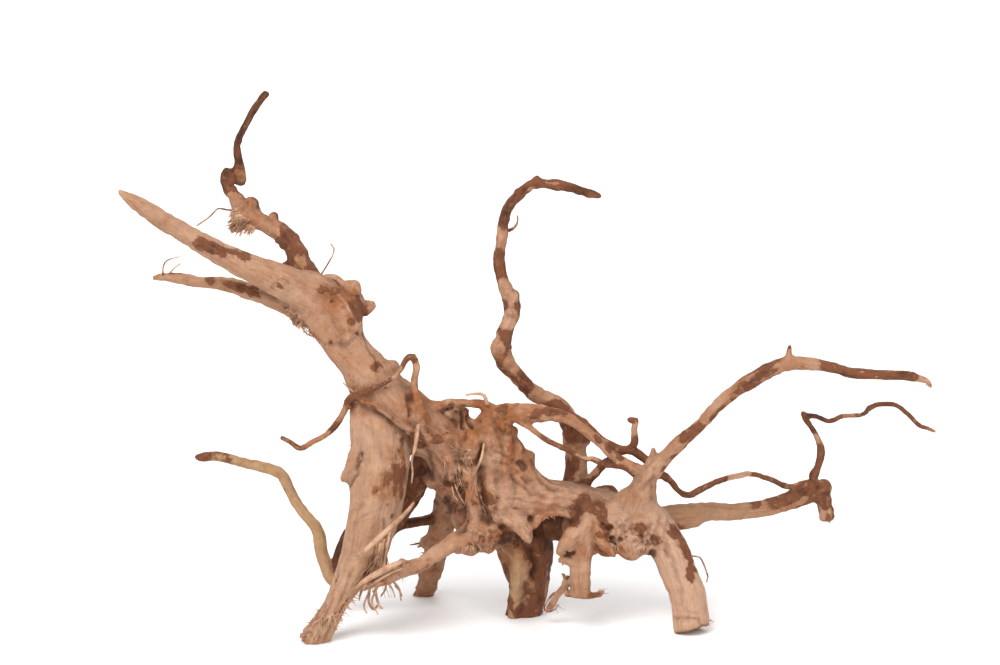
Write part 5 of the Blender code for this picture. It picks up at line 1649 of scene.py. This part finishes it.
class DRIFTWOOD_OT_hair_roots(bpy.types.Operator):
    """Add the thin hair roots that curl off the wood"""

    bl_idname = "driftwood.hair_roots"
    bl_label = "Hair roots"

    def execute(self, context):
        colours = context.scene.driftwood_colours
        wood = bpy.data.objects["weathered_wood"]
        shape = bmesh.new()
        for stations in HAIR_ROOTS:
            line = line_of(stations, HAIR_STEP)
            root = [*on_surface(wood, line[0, :3]), line[0, 3]]
            add_tube(shape, smooth_line([root, *line[1::2]], HAIR_STEP), HAIR_SIDES)
        hairs = object_from("hair_roots", shape)
        keep_in_box(hairs.data)
        hairs.data.shade_smooth()
        hairs.data.materials.append(fibre_material("hair_root_skin", colours.hair, colours.fibre))
        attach(hairs, "root")
        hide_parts(NODE)
        return {"FINISHED"}


def fray_lines(draw, wood, start, end, spread, length, count, thickness):
    """Fibres that grow from the wood between two places and stand out about one way, each with its curl."""
    for _ in range(count):
        share = draw.random()
        place = [a + (b - a) * share for a, b in zip(start[:3], end[:3])]
        root = on_surface(wood, standing(*place))
        heading = np.array(start[3]) + np.array([draw.gauss(0, spread) for _ in range(3)])
        heading /= np.linalg.norm(heading)
        curl = np.array([draw.gauss(0, FRAY_CURL) for _ in range(3)])
        reach = length * draw.uniform(*FRAY_REACH)
        rows = [[*(root - heading * FRAY_ROOT), thickness]]
        for step in range(1, FRAY_JOINTS + 1):
            part = step / FRAY_JOINTS
            place = root + heading * reach * part + curl * reach * FRAY_BEND * part**2
            rows.append([*place, thickness * (1.0 - FRAY_THINNING * part)])
        yield smooth_line(rows, reach / FRAY_JOINTS)


class DRIFTWOOD_OT_torn_fibres(bpy.types.Operator):
    """Add the torn fibres and splinters at the broken places"""

    bl_idname = "driftwood.torn_fibres"
    bl_label = "Torn fibres"

    def execute(self, context):
        colours = context.scene.driftwood_colours
        wood = bpy.data.objects["weathered_wood"]
        draw = random.Random(FRAY_SEED)
        shape = bmesh.new()
        for fray in FRAYS:
            for line in fray_lines(draw, wood, *fray):
                add_tube(shape, line, FRAY_SIDES)
        for stations in SPLINTERS:
            add_tube(shape, line_of(stations, HAIR_STEP), HAIR_SIDES)
        fibres = object_from("torn_fibres", shape)
        keep_in_box(fibres.data)
        fibres.data.shade_smooth()
        fibres.data.materials.append(fibre_material("torn_fibre", colours.fibre, colours.tan))
        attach(fibres, "root")
        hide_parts(NODE)
        return {"FINISHED"}


def add_light(name, place, aim, size, power):
    lamp = bpy.data.lights.new(name, "AREA")
    lamp.shape = "DISK"
    lamp.size = size
    lamp.energy = power
    obj = add_object(name, lamp)
    obj.location = place
    obj.rotation_euler = (Vector(aim) - Vector(place)).to_track_quat("-Z", "Y").to_euler()


def add_floor(half_width):
    """A plain pale floor, wide enough to meet the sky far behind."""
    shape = bmesh.new()
    bmesh.ops.create_grid(shape, x_segments=1, y_segments=1, size=half_width)
    floor = object_from("studio_floor", shape)
    floor.data.materials.append(plain_material("studio_floor", grey(FLOOR_TONE)))


def add_camera():
    """Puts the camera at the eye of the drawing, so that one mm of the drawing plane is two pixels wide."""
    camera = bpy.data.cameras.new("photo_camera")
    camera.sensor_width = SENSOR
    camera.lens = SENSOR * EYE_DISTANCE / VIEW_ACROSS
    camera.clip_end = CLIP_END
    obj = add_object("photo_camera", camera)
    behind = EYE_UP * SINE - EYE_DISTANCE * COSINE
    above = EYE_UP * COSINE + EYE_DISTANCE * SINE
    obj.location = Vector((EYE_ACROSS, behind, above) - MIDDLE) * MM
    obj.rotation_euler = (math.pi / 2 - LOOK_DOWN, 0, 0)
    bpy.context.scene.camera = obj


def set_sky(strength):
    """A dim room above the horizon, and a white backdrop below it."""
    world = bpy.data.worlds.new("studio_sky")
    world.use_nodes = True
    tree = world.node_tree
    shown = tree.nodes["Background"]
    shown.inputs["Color"].default_value = grey(1.0)
    way = node(tree, "ShaderNodeTexCoord", {}).outputs["Generated"]
    height = node(tree, "ShaderNodeSeparateXYZ", {0: way}).outputs["Z"]
    spans = {"From Min": SKY_DARK_FROM, "From Max": 0.0, "To Min": strength, "To Max": 1.0}
    lit = node(tree, "ShaderNodeMapRange", {"Value": height, **spans})
    tree.links.new(lit.outputs[0], shown.inputs["Strength"])
    bpy.context.scene.world = world


class DRIFTWOOD_OT_stage(bpy.types.Operator):
    """Set the floor, the lights and the camera"""

    bl_idname = "driftwood.stage"
    bl_label = "Stage"

    def execute(self, context):
        stage = context.scene.driftwood_stage
        add_floor(stage.floor)
        for name, (place, aim, size) in LIGHTS.items():
            add_light(f"{name}_light", place, aim, size, getattr(stage, name))
        add_camera()
        set_sky(stage.sky)
        context.scene.view_settings.view_transform = "Standard"
        return {"FINISHED"}


class DRIFTWOOD_PT_panel(bpy.types.Panel):
    """Lists the pieces and their settings in the 3D view's sidebar"""

    bl_idname = "DRIFTWOOD_PT_panel"
    bl_label = "Driftwood"
    bl_space_type = "VIEW_3D"
    bl_region_type = "UI"
    bl_category = "Driftwood"

    def draw(self, context):
        for step in STEPS:
            self.layout.operator(step.bl_idname)
        for name in GROUPS:
            settings = getattr(context.scene, name)
            for key in settings.__annotations__:
                self.layout.prop(settings, key)


STEPS = (DRIFTWOOD_OT_wood, DRIFTWOOD_OT_hair_roots, DRIFTWOOD_OT_torn_fibres, DRIFTWOOD_OT_stage)
GROUPS = {
    "driftwood_shape": DriftwoodShape,
    "driftwood_colours": DriftwoodColours,
    "driftwood_stage": DriftwoodStage,
}
CLASSES = (*GROUPS.values(), *STEPS, DRIFTWOOD_PT_panel)


def register():
    for made in CLASSES:
        bpy.utils.register_class(made)
    for name, group in GROUPS.items():
        setattr(bpy.types.Scene, name, PointerProperty(type=group))


def unregister():
    for name in GROUPS:
        delattr(bpy.types.Scene, name)
    for made in reversed(CLASSES):
        bpy.utils.unregister_class(made)


def main():
    register()
    bpy.ops.driftwood.wood()
    bpy.ops.driftwood.hair_roots()
    bpy.ops.driftwood.torn_fibres()
    bpy.ops.driftwood.stage()


if __name__ == "__main__":
    main()
